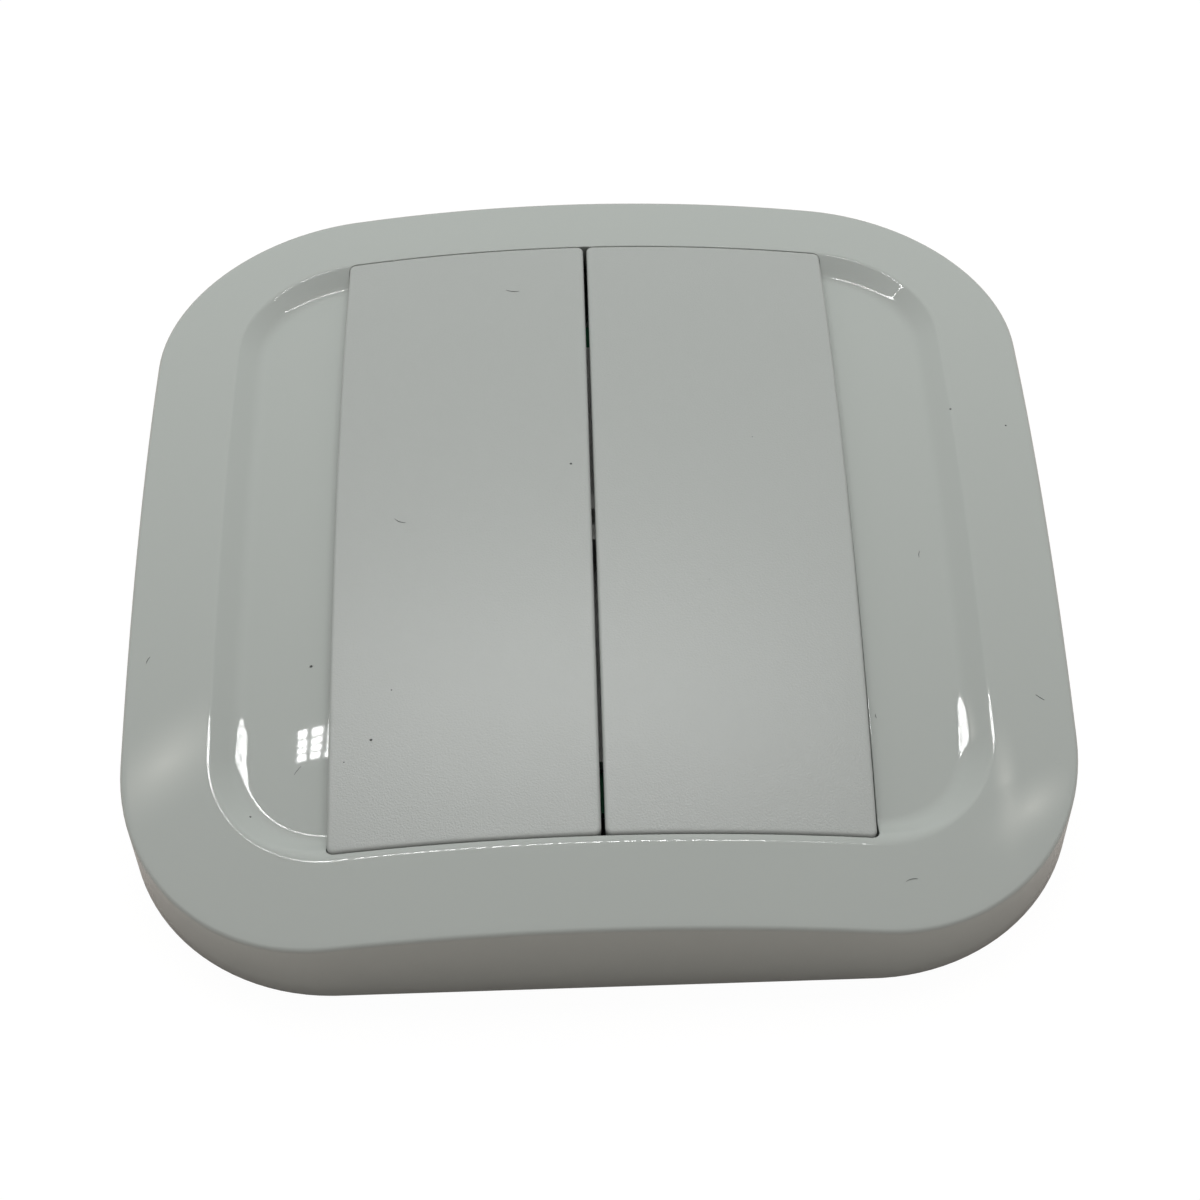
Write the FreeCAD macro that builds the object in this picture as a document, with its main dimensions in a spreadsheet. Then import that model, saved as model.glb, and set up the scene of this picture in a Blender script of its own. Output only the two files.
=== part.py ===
import FreeCAD, Part
import math
import os
import Sketcher
from FreeCAD import Vector

# Wireless wall switch with two rockers, lying on its back.
# X runs to the right, Y up the wall and Z out of the wall, from the middle of the wall side.

os.makedirs("parts", exist_ok=True)
doc = FreeCAD.newDocument("wall_switch")

# Dimensions in millimetres. What lies along the front has its share of the width, and what is
# stacked on the wall has its share of the height, so the inside follows when the outside is resized.

DIMENSIONS = [
    ("cover_width", 80.0, "square front, side to side"),
    ("cover_height", 15.5, "wall to the top of the dome"),
    ("span", "cover_width / 800", "a tenth of a millimetre along an 80 mm front"),
    ("layer", "cover_height / 155", "a tenth of a millimetre of a 15.5 mm height"),
    ("cover_corner", "180 * span", "corner radius of the front"),
    ("edge_drop", "56 * layer", "fall of the dome from its top to the middle of an edge"),
    ("crown_radius", "((cover_width / 2) ^ 2 + edge_drop ^ 2) / (2 * edge_drop)", "radius of the domed front"),
    ("skirt_lift", 0.3, "shadow gap between the skirt and the wall"),
    ("skirt_wall", 1.6, "wall of the skirt"),
    ("rim_round", 0.5, "rounding of the front's outer edge"),
    ("recess_width", "604 * span", "floor of the finger recess"),
    ("recess_corner", "82 * span", "corner radius of the recess floor"),
    ("recess_depth", "12 * layer", "recess floor below the dome"),
    ("recess_slope", "26 * span", "width of the recess's sloping side"),
    ("recess_foot", 0.1, "upright foot left under the slope"),
    ("recess_wall", "16 * layer", "wall under the recess floor"),
    ("rocker_span", "446 * span", "both rockers together, side to side"),
    ("rocker_length", "648 * span", "rocker, end to end"),
    ("rocker_slit", 0.3, "gap between the two rockers"),
    ("rocker_side_gap", 0.3, "gap between a rocker and the cover's window"),
    ("rocker_end_gap", 0.2, "gap at the rocker's ends"),
    ("rocker_corner", 1.0, "corner radius of a rocker"),
    ("rocker_round", 0.5, "rounding of a rocker's upper edge"),
    ("rocker_face", "15 * layer", "thickness of a rocker's face"),
    ("rocker_depth", "24 * layer", "height of a rocker's side walls, face included"),
    ("rocker_wall", 1.2, "thickness of a rocker's side walls"),
    ("rocker_rib", 1.0, "thickness of the ribs under a rocker"),
    ("pivot_height", "108 * layer", "rocker axis above the wall"),
    ("pin_radius", "9 * layer", "pivot pin"),
    ("pin_play", 0.05, "radial play of a pin in its bearing"),
    ("pin_reach", "14 * span", "length of a pin in its bearing"),
    ("lug_wall", "16 * span", "thickness of a pivot lug"),
    ("lug_round", "15.5 * layer", "radius of a lug's lower end"),
    ("lug_play", 0.3, "gap between a lug and its bearing post"),
    ("middle_post", "40 * span", "width of the middle bearing post"),
    ("outer_post", "20 * span", "width of an outer bearing post"),
    ("outer_post_place", "179 * span", "inner side of an outer bearing post"),
    ("post_length", "50 * span", "bearing post along the wall"),
    ("post_crest", "9.5 * layer", "bearing post above the pivot axis"),
    ("throat_width", "15 * layer", "snap-in throat of a bearing"),
    ("key_y", "175 * span", "domes above and below the pivots"),
    ("key_rise", "12 * layer", "dome above the mat"),
    ("key_foot", "36 * span", "radius of a dome's foot"),
    ("key_top", "23 * span", "radius of a dome's top"),
    ("key_roof", "6 * layer", "roof of a dome"),
    ("key_skin", 0.45, "side wall of a dome"),
    ("mat_thickness", "6 * layer", "silicone sheet"),
    ("mat_width", "430 * span", "silicone sheet, side to side"),
    ("plunger_radius", "19 * span", "rocker's plunger"),
    ("plunger_play", 0.08, "gap between a plunger and its dome"),
    ("pill_radius", "15 * span", "conductive pill"),
    ("pill_height", "4 * layer", "conductive pill"),
    ("pad_radius", "24 * span", "contact pad"),
    ("pad_thickness", 0.05, "contact pad"),
    ("pad_slit", 0.4, "slit between the halves of a contact pad"),
    ("board_width", "540 * span", "circuit board"),
    ("board_corner", "40 * span", "corner radius of the circuit board"),
    ("board_thickness", "8 * layer", "circuit board"),
    ("frame_width", "530 * span", "rocker frame, side to side"),
    ("frame_length", "460 * span", "rocker frame, along the rockers"),
    ("frame_thickness", "10 * layer", "rocker frame plate"),
    ("frame_hole", "41 * span", "radius of the frame's holes round the domes"),
    ("screw_x", "242 * span", "screws from the middle line"),
    ("screw_y", "120 * span", "screws above and below the pivots"),
    ("screw_radius", "10 * span", "screw shank"),
    ("screw_head_radius", "18 * span", "screw head"),
    ("screw_head_height", "11 * layer", "screw head"),
    ("screw_length", "52 * layer", "screw below its head"),
    ("screw_play", 0.2, "radial play of a screw in its holes"),
    ("cell_radius", "100 * span", "coin cell"),
    ("cell_height", "32 * layer", "coin cell"),
    ("cell_back", "20 * layer", "coin cell above the wall"),
    ("cell_y", "-80 * span", "middle of the coin cell"),
    ("cell_play", 0.25, "radial play of the cell in its well"),
    ("well_wall", 1.2, "wall round the cell"),
    ("contact_room", "4 * layer", "room for the contact between cell and board"),
    ("strip_thickness", 0.2, "contact strips"),
    ("strip_width", "40 * span", "contact strips"),
    ("leaf_end", "80 * span", "bowed leaf, middle to its end"),
    ("leaf_bend", "50 * span", "bowed leaf, middle to its bend at the board"),
    ("leaf_foot", "25 * span", "bowed leaf, middle to the end of its flat foot"),
    ("leg_end", "36 * span", "spring leg's soldered end, from the cell"),
    ("leg_lean", "8 * span", "spring leg's lean away from the cell"),
    ("floor_back", "18 * layer", "tray floor above the wall"),
    ("floor_thickness", "14 * layer", "tray floor"),
    ("tray_gap", 0.3, "gap between tray and skirt"),
    ("tray_wall", 1.2, "side wall of the tray"),
    ("tray_rim", "43 * layer", "top of the tray's side wall above the wall"),
    ("boss_radius", "24 * span", "screw boss"),
    ("snap_width", "90 * span", "snap bead of the cover"),
    ("snap_height", "10 * layer", "snap bead of the cover"),
    ("snap_reach", 0.9, "snap bead out of the skirt"),
    ("snap_play", 0.1, "play of a snap bead in its window"),
    ("bracket_width", "690 * span", "wall bracket"),
    ("bracket_corner", "130 * span", "corner radius of the wall bracket"),
    ("bracket_thickness", "16 * layer", "wall bracket"),
    ("screw_pitch", "600 * span", "flush box screws, middle to middle"),
    ("slot_half_width", "18 * span", "half width of a screw slot"),
    ("slot_length", "60 * span", "screw slot, end to end"),
    ("hook_x", "200 * span", "hooks from the middle line"),
    ("hook_y", "200 * span", "hooks above and below the middle"),
    ("hook_width", "60 * span", "hook"),
    ("hook_post", 1.4, "hook's upright"),
    ("hook_reach", 1.2, "hook over the tray floor"),
    ("hook_thickness", "10 * layer", "hook over the tray floor"),
    ("hook_play", 0.15, "gap between a hook and the tray"),
    ("hook_travel", 3.0, "slide that frees the hooks"),
    ("module_width", "160 * span", "radio module board"),
    ("module_length", "120 * span", "radio module board"),
    ("module_thickness", "8 * layer", "radio module board"),
    ("module_y", "170 * span", "middle of the radio module"),
    ("shield_width", "105 * span", "radio shield"),
    ("shield_length", "100 * span", "radio shield"),
    ("shield_height", "11 * layer", "radio shield"),
    ("shield_wall", 0.2, "radio shield"),
    ("antenna_width", "60 * span", "chip antenna"),
    ("antenna_length", "9 * span", "chip antenna"),
    ("antenna_height", "9 * layer", "chip antenna"),
    ("antenna_y", "222 * span", "middle of the chip antenna"),
    ("chip_width", "50 * span", "control chip, both ways"),
    ("chip_height", "9 * layer", "control chip"),
    ("chip_x", "155 * span", "middle of the control chip and the crystal"),
    ("chip_y", "150 * span", "middle of the control chip"),
    ("crystal_width", "32 * span", "crystal"),
    ("crystal_length", "25 * span", "crystal"),
    ("crystal_height", "8 * layer", "crystal"),
    ("crystal_y", "95 * span", "middle of the crystal"),
    ("capacitor_width", "8 * span", "chip capacitor"),
    ("capacitor_length", "16 * span", "chip capacitor"),
    ("capacitor_height", "8 * layer", "chip capacitor"),
    ("capacitor_pitch", "16 * span", "chip capacitors, middle to middle"),
    ("capacitor_x", "-110 * span", "first chip capacitor"),
    ("capacitor_y", "90 * span", "row of chip capacitors"),
]

sheet = doc.addObject("Spreadsheet::Sheet", "dims")
for row, (alias, size, note) in enumerate(DIMENSIONS, 1):
    sheet.set(f"A{row}", note)
    sheet.set(f"B{row}", f"={size}")
    sheet.setAlias(f"B{row}", alias)
doc.recompute()


def value(expression):
    """The number that an expression of sheet cells gives."""
    result = sheet.evalExpression(str(expression))
    return float(getattr(result, "Value", result))


def bind(thing, sizes):
    """Bind an object's properties to expressions of sheet cells."""
    for prop, expression in sizes.items():
        thing.setExpression(prop, str(expression))


# Levels and places worked out from the cells

HALF_COVER = "(dims.cover_width / 2)"
CROWN_CENTRE = "(dims.cover_height - dims.crown_radius)"
RECESS_BALL = "(dims.crown_radius - dims.recess_depth)"
INNER_BALL = "(dims.crown_radius - dims.recess_depth - dims.recess_wall)"
SKIRT_INSIDE = f"({HALF_COVER} - dims.skirt_wall)"
TRAY_OUTSIDE = f"({SKIRT_INSIDE} - dims.tray_gap)"
TRAY_INSIDE = f"({TRAY_OUTSIDE} - dims.tray_wall)"
FLOOR_TOP = "(dims.floor_back + dims.floor_thickness)"
BOARD_BOTTOM = "(dims.cell_back + dims.cell_height + dims.contact_room)"
BOARD_TOP = f"({BOARD_BOTTOM} + dims.board_thickness)"
MAT_TOP = f"({BOARD_TOP} + dims.mat_thickness)"
KEY_TOP = f"({MAT_TOP} + dims.key_rise)"
FRAME_TOP = f"({MAT_TOP} + dims.frame_thickness)"
POST_TOP = "(dims.pivot_height + dims.post_crest)"
ROCKER_OUTSIDE = "(dims.rocker_span / 2)"
ROCKER_INSIDE = "(dims.rocker_slit / 2)"
ROCKER_HALF_LENGTH = "(dims.rocker_length / 2)"
KEY_X = f"(({ROCKER_INSIDE} + {ROCKER_OUTSIDE}) / 2)"
MIDDLE_LUG = "(dims.middle_post / 2 + dims.lug_play + dims.lug_wall / 2)"
OUTER_LUG = "(dims.outer_post_place - dims.lug_play - dims.lug_wall / 2)"
SCREW_TIP = f"({FRAME_TOP} - dims.screw_length)"
SNAP_BOTTOM = f"({FLOOR_TOP} - 0.4)"
PAIRS = [(1, 1), (-1, 1), (-1, -1), (1, -1)]


def inside_face(across, along):
    """Level of the middle of a rocker's face above a point of the wall."""
    drop = f"(({across}) ^ 2 + ({along}) ^ 2) / (2 * dims.crown_radius)"
    return f"(dims.cover_height - dims.rocker_face / 2 - {drop})"


# Sketch outlines, every point and radius bound to the sheet

def datum(sketch, kind, position, expression):
    """Add a size to a sketch and bind it to an expression."""
    index = sketch.addConstraint(Sketcher.Constraint(kind, *position, value(expression)))
    sketch.setExpression(f"Constraints[{index}]", str(expression))


def rounded_outline(sketch, half_x, half_y, radius, middle_x="0", middle_y="0"):
    """Four lines and four arcs round a middle point."""
    hx, hy, r = value(half_x), value(half_y), value(radius)
    mx, my = value(middle_x), value(middle_y)
    first = sketch.GeometryCount
    ends = [
        ((mx - hx + r, my - hy), (mx + hx - r, my - hy)),
        ((mx + hx, my - hy + r), (mx + hx, my + hy - r)),
        ((mx + hx - r, my + hy), (mx - hx + r, my + hy)),
        ((mx - hx, my + hy - r), (mx - hx, my - hy + r)),
    ]
    turns = [(hx - r, r - hy, -90), (hx - r, hy - r, 0), (r - hx, hy - r, 90), (r - hx, r - hy, 180)]
    for start, end in ends:
        sketch.addGeometry(Part.LineSegment(Vector(*start, 0), Vector(*end, 0)))
    for across, up, turn in turns:
        circle = Part.Circle(Vector(mx + across, my + up, 0), Vector(0, 0, 1), r)
        sketch.addGeometry(Part.ArcOfCircle(circle, math.radians(turn), math.radians(turn + 90)))
    for side in range(4):
        line, arc, following = first + side, first + 4 + side, first + (side + 1) % 4
        sketch.addConstraint(Sketcher.Constraint("Tangent", line, 2, arc, 1))
        sketch.addConstraint(Sketcher.Constraint("Tangent", arc, 2, following, 1))
        kind = "Vertical" if side % 2 else "Horizontal"
        sketch.addConstraint(Sketcher.Constraint(kind, line))
        if side:
            sketch.addConstraint(Sketcher.Constraint("Equal", first + 4, arc))
    datum(sketch, "Radius", (first + 4,), radius)
    datum(sketch, "DistanceY", (first, 1), f"{middle_y} - ({half_y})")
    datum(sketch, "DistanceX", (first + 1, 1), f"{middle_x} + ({half_x})")
    datum(sketch, "DistanceY", (first + 2, 1), f"{middle_y} + ({half_y})")
    datum(sketch, "DistanceX", (first + 3, 1), f"{middle_x} - ({half_x})")


def closed_profile(sketch, corners):
    """A closed outline of straight lines through corners given as pairs of expressions."""
    points = [Vector(value(across), value(up), 0) for across, up in corners]
    first = sketch.GeometryCount
    for index, point in enumerate(points):
        sketch.addGeometry(Part.LineSegment(point, points[(index + 1) % len(points)]))
    for index, (across, up) in enumerate(corners):
        following = first + (index + 1) % len(points)
        sketch.addConstraint(Sketcher.Constraint("Coincident", first + index, 2, following, 1))
        datum(sketch, "DistanceX", (first + index, 1), across)
        datum(sketch, "DistanceY", (first + index, 1), up)


def circle_outline(sketch, radius, middle_x, middle_y):
    """A circle of a bound radius round a bound point."""
    index = sketch.addGeometry(
        Part.Circle(Vector(value(middle_x), value(middle_y), 0), Vector(0, 0, 1), value(radius))
    )
    datum(sketch, "Radius", (index,), radius)
    datum(sketch, "DistanceX", (index, 3), middle_x)
    datum(sketch, "DistanceY", (index, 3), middle_y)


# Bodies and their features

def new_body(label):
    body = doc.addObject("PartDesign::Body", label)
    body.Label = label
    return body


def plane_sketch(body, name, role="XY_Plane", offset="0"):
    """A sketch on one of the body's own planes, moved along its normal."""
    sketch = body.newObject("Sketcher::SketchObject", name)
    plane = next(f for f in body.Origin.OriginFeatures if f.Role == role)
    sketch.AttachmentSupport = [(plane, "")]
    sketch.MapMode = "FlatFace"
    sketch.setExpression("AttachmentOffset.Base.z", str(offset))
    return sketch


def pad(body, name, sketch, length, midplane=False):
    feature = body.newObject("PartDesign::Pad", name)
    feature.Profile = sketch
    feature.Midplane = midplane
    feature.setExpression("Length", str(length))
    sketch.Visibility = False
    return feature


def pocket(body, name, sketch, length, midplane=False, upward=False):
    feature = body.newObject("PartDesign::Pocket", name)
    feature.Profile = sketch
    feature.Midplane = midplane
    feature.Reversed = upward
    feature.setExpression("Length", str(length))
    sketch.Visibility = False
    return feature


def revolve(body, name, sketch):
    """Turn a profile round the sketch's upright axis."""
    feature = body.newObject("PartDesign::Revolution", name)
    feature.Profile = sketch
    feature.ReferenceAxis = (sketch, ["V_Axis"])
    feature.Angle = 360
    sketch.Visibility = False
    return feature


# Primitives and booleans

def block(name, low, high):
    """A box between two corners given as triples of expressions."""
    thing = doc.addObject("Part::Box", name)
    for size, axis, start, end in zip(("Length", "Width", "Height"), "xyz", low, high):
        bind(thing, {size: f"({end}) - ({start})", f"Placement.Base.{axis}": f"{start}"})
    return thing


def rod(name, radius, bottom, top, middle_x="0", middle_y="0"):
    """An upright cylinder."""
    thing = doc.addObject("Part::Cylinder", name)
    bind(thing, {"Radius": radius, "Height": f"({top}) - ({bottom})"})
    bind(thing, {"Placement.Base.x": middle_x, "Placement.Base.y": middle_y, "Placement.Base.z": bottom})
    return thing


def frustum(name, low_radius, high_radius, bottom, top, middle_x="0", middle_y="0"):
    """An upright cone with both ends cut off."""
    thing = doc.addObject("Part::Cone", name)
    bind(thing, {"Radius1": low_radius, "Radius2": high_radius, "Height": f"({top}) - ({bottom})"})
    bind(thing, {"Placement.Base.x": middle_x, "Placement.Base.y": middle_y, "Placement.Base.z": bottom})
    return thing


def crown(name, radius):
    """A ball round the dome's centre, turned so that its seam faces the wall."""
    thing = doc.addObject("Part::Sphere", name)
    thing.Placement = FreeCAD.Placement(Vector(), FreeCAD.Rotation(Vector(0, 1, 0), 90))
    bind(thing, {"Radius": radius, "Placement.Base.z": CROWN_CENTRE})
    return thing


def prism(name, half_x, half_y, radius, bottom, top, middle_x="0"):
    """An upright block with rounded corners."""
    sketch = doc.addObject("Sketcher::SketchObject", f"{name}_sketch")
    rounded_outline(sketch, half_x, half_y, radius, middle_x)
    sketch.setExpression("Placement.Base.z", str(bottom))
    thing = doc.addObject("Part::Extrusion", name)
    thing.Base = sketch
    thing.DirMode = "Custom"
    thing.Dir = Vector(0, 0, 1)
    thing.Solid = True
    thing.setExpression("LengthFwd", f"({top}) - ({bottom})")
    return thing


def fuse(name, things):
    thing = doc.addObject("Part::MultiFuse", name)
    thing.Shapes = things
    thing.Refine = True
    return thing


def cut(name, base, tool):
    thing = doc.addObject("Part::Cut", name)
    thing.Base = base
    thing.Tool = tool
    thing.Refine = True
    return thing


def common(name, one, other):
    thing = doc.addObject("Part::Common", name)
    thing.Base = one
    thing.Tool = other
    return thing


def group(name, things):
    """Separate solids of one kind, kept as one part."""
    thing = doc.addObject("Part::Compound", name)
    thing.Links = things
    return thing


def edges_on_crown(shape, radius, inside):
    """Numbers of the edges that lie on a ball round the dome's centre and pass a test."""
    centre = Vector(0, 0, value(CROWN_CENTRE))
    found = []
    for number, edge in enumerate(shape.Edges, 1):
        if edge.Degenerated:
            continue
        points = edge.discretize(5)
        on_ball = all(abs((point - centre).Length - radius) < 0.01 for point in points)
        if on_ball and all(inside(point) for point in points):
            found.append(number)
    return found


# Front cover

def front_cover():
    """Domed shell with a sloping recess, the rockers' window and four snap beads."""
    outer = prism("cover_outline", HALF_COVER, HALF_COVER, "dims.cover_corner",
                  "dims.skirt_lift", "dims.cover_height")
    domed = common("cover_domed", outer, crown("cover_crown", "dims.crown_radius"))

    half_recess = "dims.recess_width / 2"
    sunk = prism("recess_outline", half_recess, half_recess, "dims.recess_corner",
                 "dims.skirt_lift", "dims.cover_height * 2")
    dished = cut("cover_dished", domed, cut("recess_tool", sunk, crown("recess_floor", RECESS_BALL)))

    doc.recompute()
    radius = value("dims.crown_radius")
    edge = value(f"{half_recess} + dims.recess_foot")
    sloped = doc.addObject("Part::Chamfer", "cover_sloped")
    sloped.Base = dished
    slope = value("dims.recess_slope"), value("dims.recess_depth - dims.recess_foot")
    inner_edges = edges_on_crown(dished.Shape, radius, lambda p: max(abs(p.x), abs(p.y)) < edge)
    sloped.Edges = [(number, *slope) for number in inner_edges]

    doc.recompute()
    rounded = doc.addObject("Part::Fillet", "cover_rounded")
    rounded.Base = sloped
    rounding = value("dims.rim_round")
    rounded.Edges = [(n, rounding, rounding) for n in edges_on_crown(sloped.Shape, radius, lambda p: True)]

    inside = prism("cover_inside", SKIRT_INSIDE, SKIRT_INSIDE, "dims.cover_corner - dims.skirt_wall",
                   "0", "dims.cover_height")
    hollow = common("cover_hollow", inside, crown("cover_ceiling", INNER_BALL))
    window = prism("cover_window", f"{ROCKER_OUTSIDE} + dims.rocker_side_gap",
                   f"{ROCKER_HALF_LENGTH} + dims.rocker_end_gap",
                   "dims.rocker_corner + dims.rocker_side_gap", "0", "dims.cover_height * 2")
    shell = cut("cover_shell", rounded, fuse("cover_cuts", [hollow, window]))
    return fuse("front_cover_moulding", [shell] + [snap_bead(turn) for turn in range(4)])


def snap_bead(turn):
    """A wedge on the skirt that snaps into the tray's window, on one of the four sides."""
    sketch = doc.addObject("Sketcher::SketchObject", f"snap_bead_{turn + 1}_sketch")
    closed_profile(sketch, [
        (f"{SKIRT_INSIDE} + dims.skirt_wall / 2", SNAP_BOTTOM),
        (f"{SKIRT_INSIDE} - dims.snap_reach", SNAP_BOTTOM + " + dims.snap_height * 0.6"),
        (f"{SKIRT_INSIDE} - dims.snap_reach", SNAP_BOTTOM + " + dims.snap_height"),
        (f"{SKIRT_INSIDE} + dims.skirt_wall / 2", SNAP_BOTTOM + " + dims.snap_height"),
    ])
    turned = FreeCAD.Rotation(Vector(0, 0, 1), 90 * turn)
    sketch.Placement = FreeCAD.Placement(Vector(), turned * FreeCAD.Rotation(Vector(1, 0, 0), 90))
    bead = doc.addObject("Part::Extrusion", f"snap_bead_{turn + 1}")
    bead.Base = sketch
    bead.DirMode = "Normal"
    bead.Solid = True
    bead.Symmetric = True
    bead.setExpression("LengthFwd", "dims.snap_width - dims.snap_play * 2")
    return bead


# Rockers

def rocker():
    """The right rocker: a domed face with side walls, ribs, two plungers and two pivot lugs."""
    half_width = f"({ROCKER_OUTSIDE} - {ROCKER_INSIDE}) / 2"
    outline = prism("rocker_outline", half_width, ROCKER_HALF_LENGTH, "dims.rocker_corner",
                    "0", "dims.cover_height", KEY_X)
    domed = common("rocker_domed", outline, crown("rocker_crown", "dims.crown_radius"))
    skin = cut("rocker_skin", domed, crown("rocker_underside", "dims.crown_radius - dims.rocker_depth"))

    cells = common("rocker_cells", fuse("rocker_cell_blocks", rocker_cells()),
                   crown("rocker_inside", "dims.crown_radius - dims.rocker_face"))
    shell = cut("rocker_shell", skin, cells)
    lugs = [pivot_lug("inner", MIDDLE_LUG, -1), pivot_lug("outer", OUTER_LUG, 1)]
    plungers = [
        rod(f"plunger_{'low' if side < 0 else 'high'}", "dims.plunger_radius",
            f"{KEY_TOP} + dims.plunger_play", inside_face(KEY_X, "dims.key_y"),
            KEY_X, f"{side} * dims.key_y")
        for side in (-1, 1)
    ]
    moulding = fuse("rocker_moulding", [shell] + plungers + lugs)

    doc.recompute()
    rounding = value("dims.rocker_round")
    edges = edges_on_crown(moulding.Shape, value("dims.crown_radius"), lambda p: True)
    rounded = doc.addObject("Part::Fillet", "rocker_rounded")
    rounded.Base = moulding
    rounded.Edges = [(number, rounding, rounding) for number in edges]
    return rounded


def rocker_cells():
    """The hollows between the ribs, two across and four along."""
    blocks = []
    across = f"(({ROCKER_OUTSIDE} - {ROCKER_INSIDE} - dims.rocker_wall * 2 - dims.rocker_rib) / 2)"
    along = "((dims.rocker_length - dims.rocker_wall * 2 - dims.rocker_rib * 3) / 4)"
    for column in range(2):
        for line in range(4):
            left = f"({ROCKER_INSIDE} + dims.rocker_wall + {column} * ({across} + dims.rocker_rib))"
            low = f"(dims.rocker_wall - {ROCKER_HALF_LENGTH} + {line} * ({along} + dims.rocker_rib))"
            blocks.append(block(f"rocker_cell_{column + 1}_{line + 1}", (left, low, "0"),
                                (f"{left} + {across}", f"{low} + {along}", "dims.cover_height")))
    return blocks


def pivot_lug(name, side, outward):
    """A lug with a round lower end and a pin that points along X; outward is 1 or -1."""
    far = f"{side} + {outward} * dims.lug_wall"
    sketch = doc.addObject("Sketcher::SketchObject", f"{name}_lug_sketch")
    level, radius = value("dims.pivot_height"), value("dims.lug_round")
    root = inside_face(side, "0")
    crest = value(root)
    arc = Part.Circle(Vector(0, level, 0), Vector(0, 0, 1), radius)
    sketch.addGeometry(Part.ArcOfCircle(arc, math.pi, 2 * math.pi))
    sketch.addGeometry(Part.LineSegment(Vector(radius, level, 0), Vector(radius, crest, 0)))
    sketch.addGeometry(Part.LineSegment(Vector(radius, crest, 0), Vector(-radius, crest, 0)))
    sketch.addGeometry(Part.LineSegment(Vector(-radius, crest, 0), Vector(-radius, level, 0)))
    sketch.addConstraint(Sketcher.Constraint("Tangent", 0, 2, 1, 1))
    sketch.addConstraint(Sketcher.Constraint("Coincident", 1, 2, 2, 1))
    sketch.addConstraint(Sketcher.Constraint("Coincident", 2, 2, 3, 1))
    sketch.addConstraint(Sketcher.Constraint("Tangent", 3, 2, 0, 1))
    sketch.addConstraint(Sketcher.Constraint("Vertical", 1))
    sketch.addConstraint(Sketcher.Constraint("Horizontal", 2))
    datum(sketch, "DistanceX", (0, 3), "0")
    datum(sketch, "DistanceY", (0, 3), "dims.pivot_height")
    datum(sketch, "Radius", (0,), "dims.lug_round")
    datum(sketch, "DistanceY", (1, 2), root)
    sketch.Placement = FreeCAD.Placement(Vector(), FreeCAD.Rotation(Vector(1, 1, 1), 120))
    bind(sketch, {"Placement.Base.x": f"{side} - dims.lug_wall / 2"})
    lug = doc.addObject("Part::Extrusion", f"{name}_lug")
    lug.Base = sketch
    lug.DirMode = "Custom"
    lug.Dir = Vector(1, 0, 0)
    lug.Solid = True
    lug.setExpression("LengthFwd", "dims.lug_wall")
    pin = doc.addObject("Part::Cylinder", f"{name}_pin")
    pin.Placement = FreeCAD.Placement(Vector(), FreeCAD.Rotation(Vector(0, 1, 0), 90))
    start = side if outward > 0 else f"{side} - dims.lug_wall / 2 - dims.lug_play - dims.pin_reach"
    bind(pin, {"Radius": "dims.pin_radius", "Height": "dims.lug_wall / 2 + dims.lug_play + dims.pin_reach",
               "Placement.Base.x": start, "Placement.Base.z": "dims.pivot_height"})
    return fuse(f"{name}_lug_and_pin", [lug, pin])


# Rocker frame

def rocker_frame():
    """Plate over the silicone mat with three bearing posts and a hole round each dome."""
    body = new_body("rocker_frame")
    plate = plane_sketch(body, "frame_plate_sketch", offset=MAT_TOP)
    rounded_outline(plate, "dims.frame_width / 2", "dims.frame_length / 2", "dims.board_corner / 2")
    pad(body, "frame_plate", plate, "dims.frame_thickness")

    feet = plane_sketch(body, "frame_feet_sketch", offset=BOARD_TOP)
    for across, up in PAIRS:
        circle_outline(feet, "dims.boss_radius - 0.2", f"{across} * dims.screw_x", f"{up} * dims.screw_y")
    pad(body, "frame_feet", feet, "dims.mat_thickness + dims.frame_thickness / 2")

    posts = plane_sketch(body, "bearing_posts_sketch", offset=f"{FRAME_TOP} - dims.frame_thickness / 2")
    spans = [
        ("-dims.middle_post / 2", "dims.middle_post / 2"),
        ("dims.outer_post_place", "dims.outer_post_place + dims.outer_post"),
        ("-dims.outer_post_place - dims.outer_post", "-dims.outer_post_place"),
    ]
    for left, right in spans:
        closed_profile(posts, [(left, "-dims.post_length / 2"), (right, "-dims.post_length / 2"),
                               (right, "dims.post_length / 2"), (left, "dims.post_length / 2")])
    pad(body, "bearing_posts", posts, f"{POST_TOP} - {FRAME_TOP} + dims.frame_thickness / 2")

    bores = plane_sketch(body, "bearing_bores_sketch", "YZ_Plane")
    circle_outline(bores, "dims.pin_radius + dims.pin_play", "0", "dims.pivot_height")
    pocket(body, "bearing_bores", bores, "dims.frame_width", midplane=True)
    throats = plane_sketch(body, "bearing_throats_sketch", "YZ_Plane")
    closed_profile(throats, [
        ("-dims.throat_width / 2", "dims.pivot_height"), ("dims.throat_width / 2", "dims.pivot_height"),
        ("dims.throat_width / 2 + 0.3", f"{POST_TOP} + 1"), ("-dims.throat_width / 2 - 0.3", f"{POST_TOP} + 1"),
    ])
    pocket(body, "bearing_throats", throats, "dims.frame_width", midplane=True)

    holes = plane_sketch(body, "dome_holes_sketch", offset=BOARD_TOP)
    for across, up in PAIRS:
        circle_outline(holes, "dims.frame_hole", f"{across} * {KEY_X}", f"{up} * dims.key_y")
        circle_outline(holes, "dims.screw_radius + dims.screw_play",
                       f"{across} * dims.screw_x", f"{up} * dims.screw_y")
    pocket(body, "dome_and_screw_holes", holes, "dims.mat_thickness + dims.frame_thickness + 1", upward=True)
    return body


# Silicone mat

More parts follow.
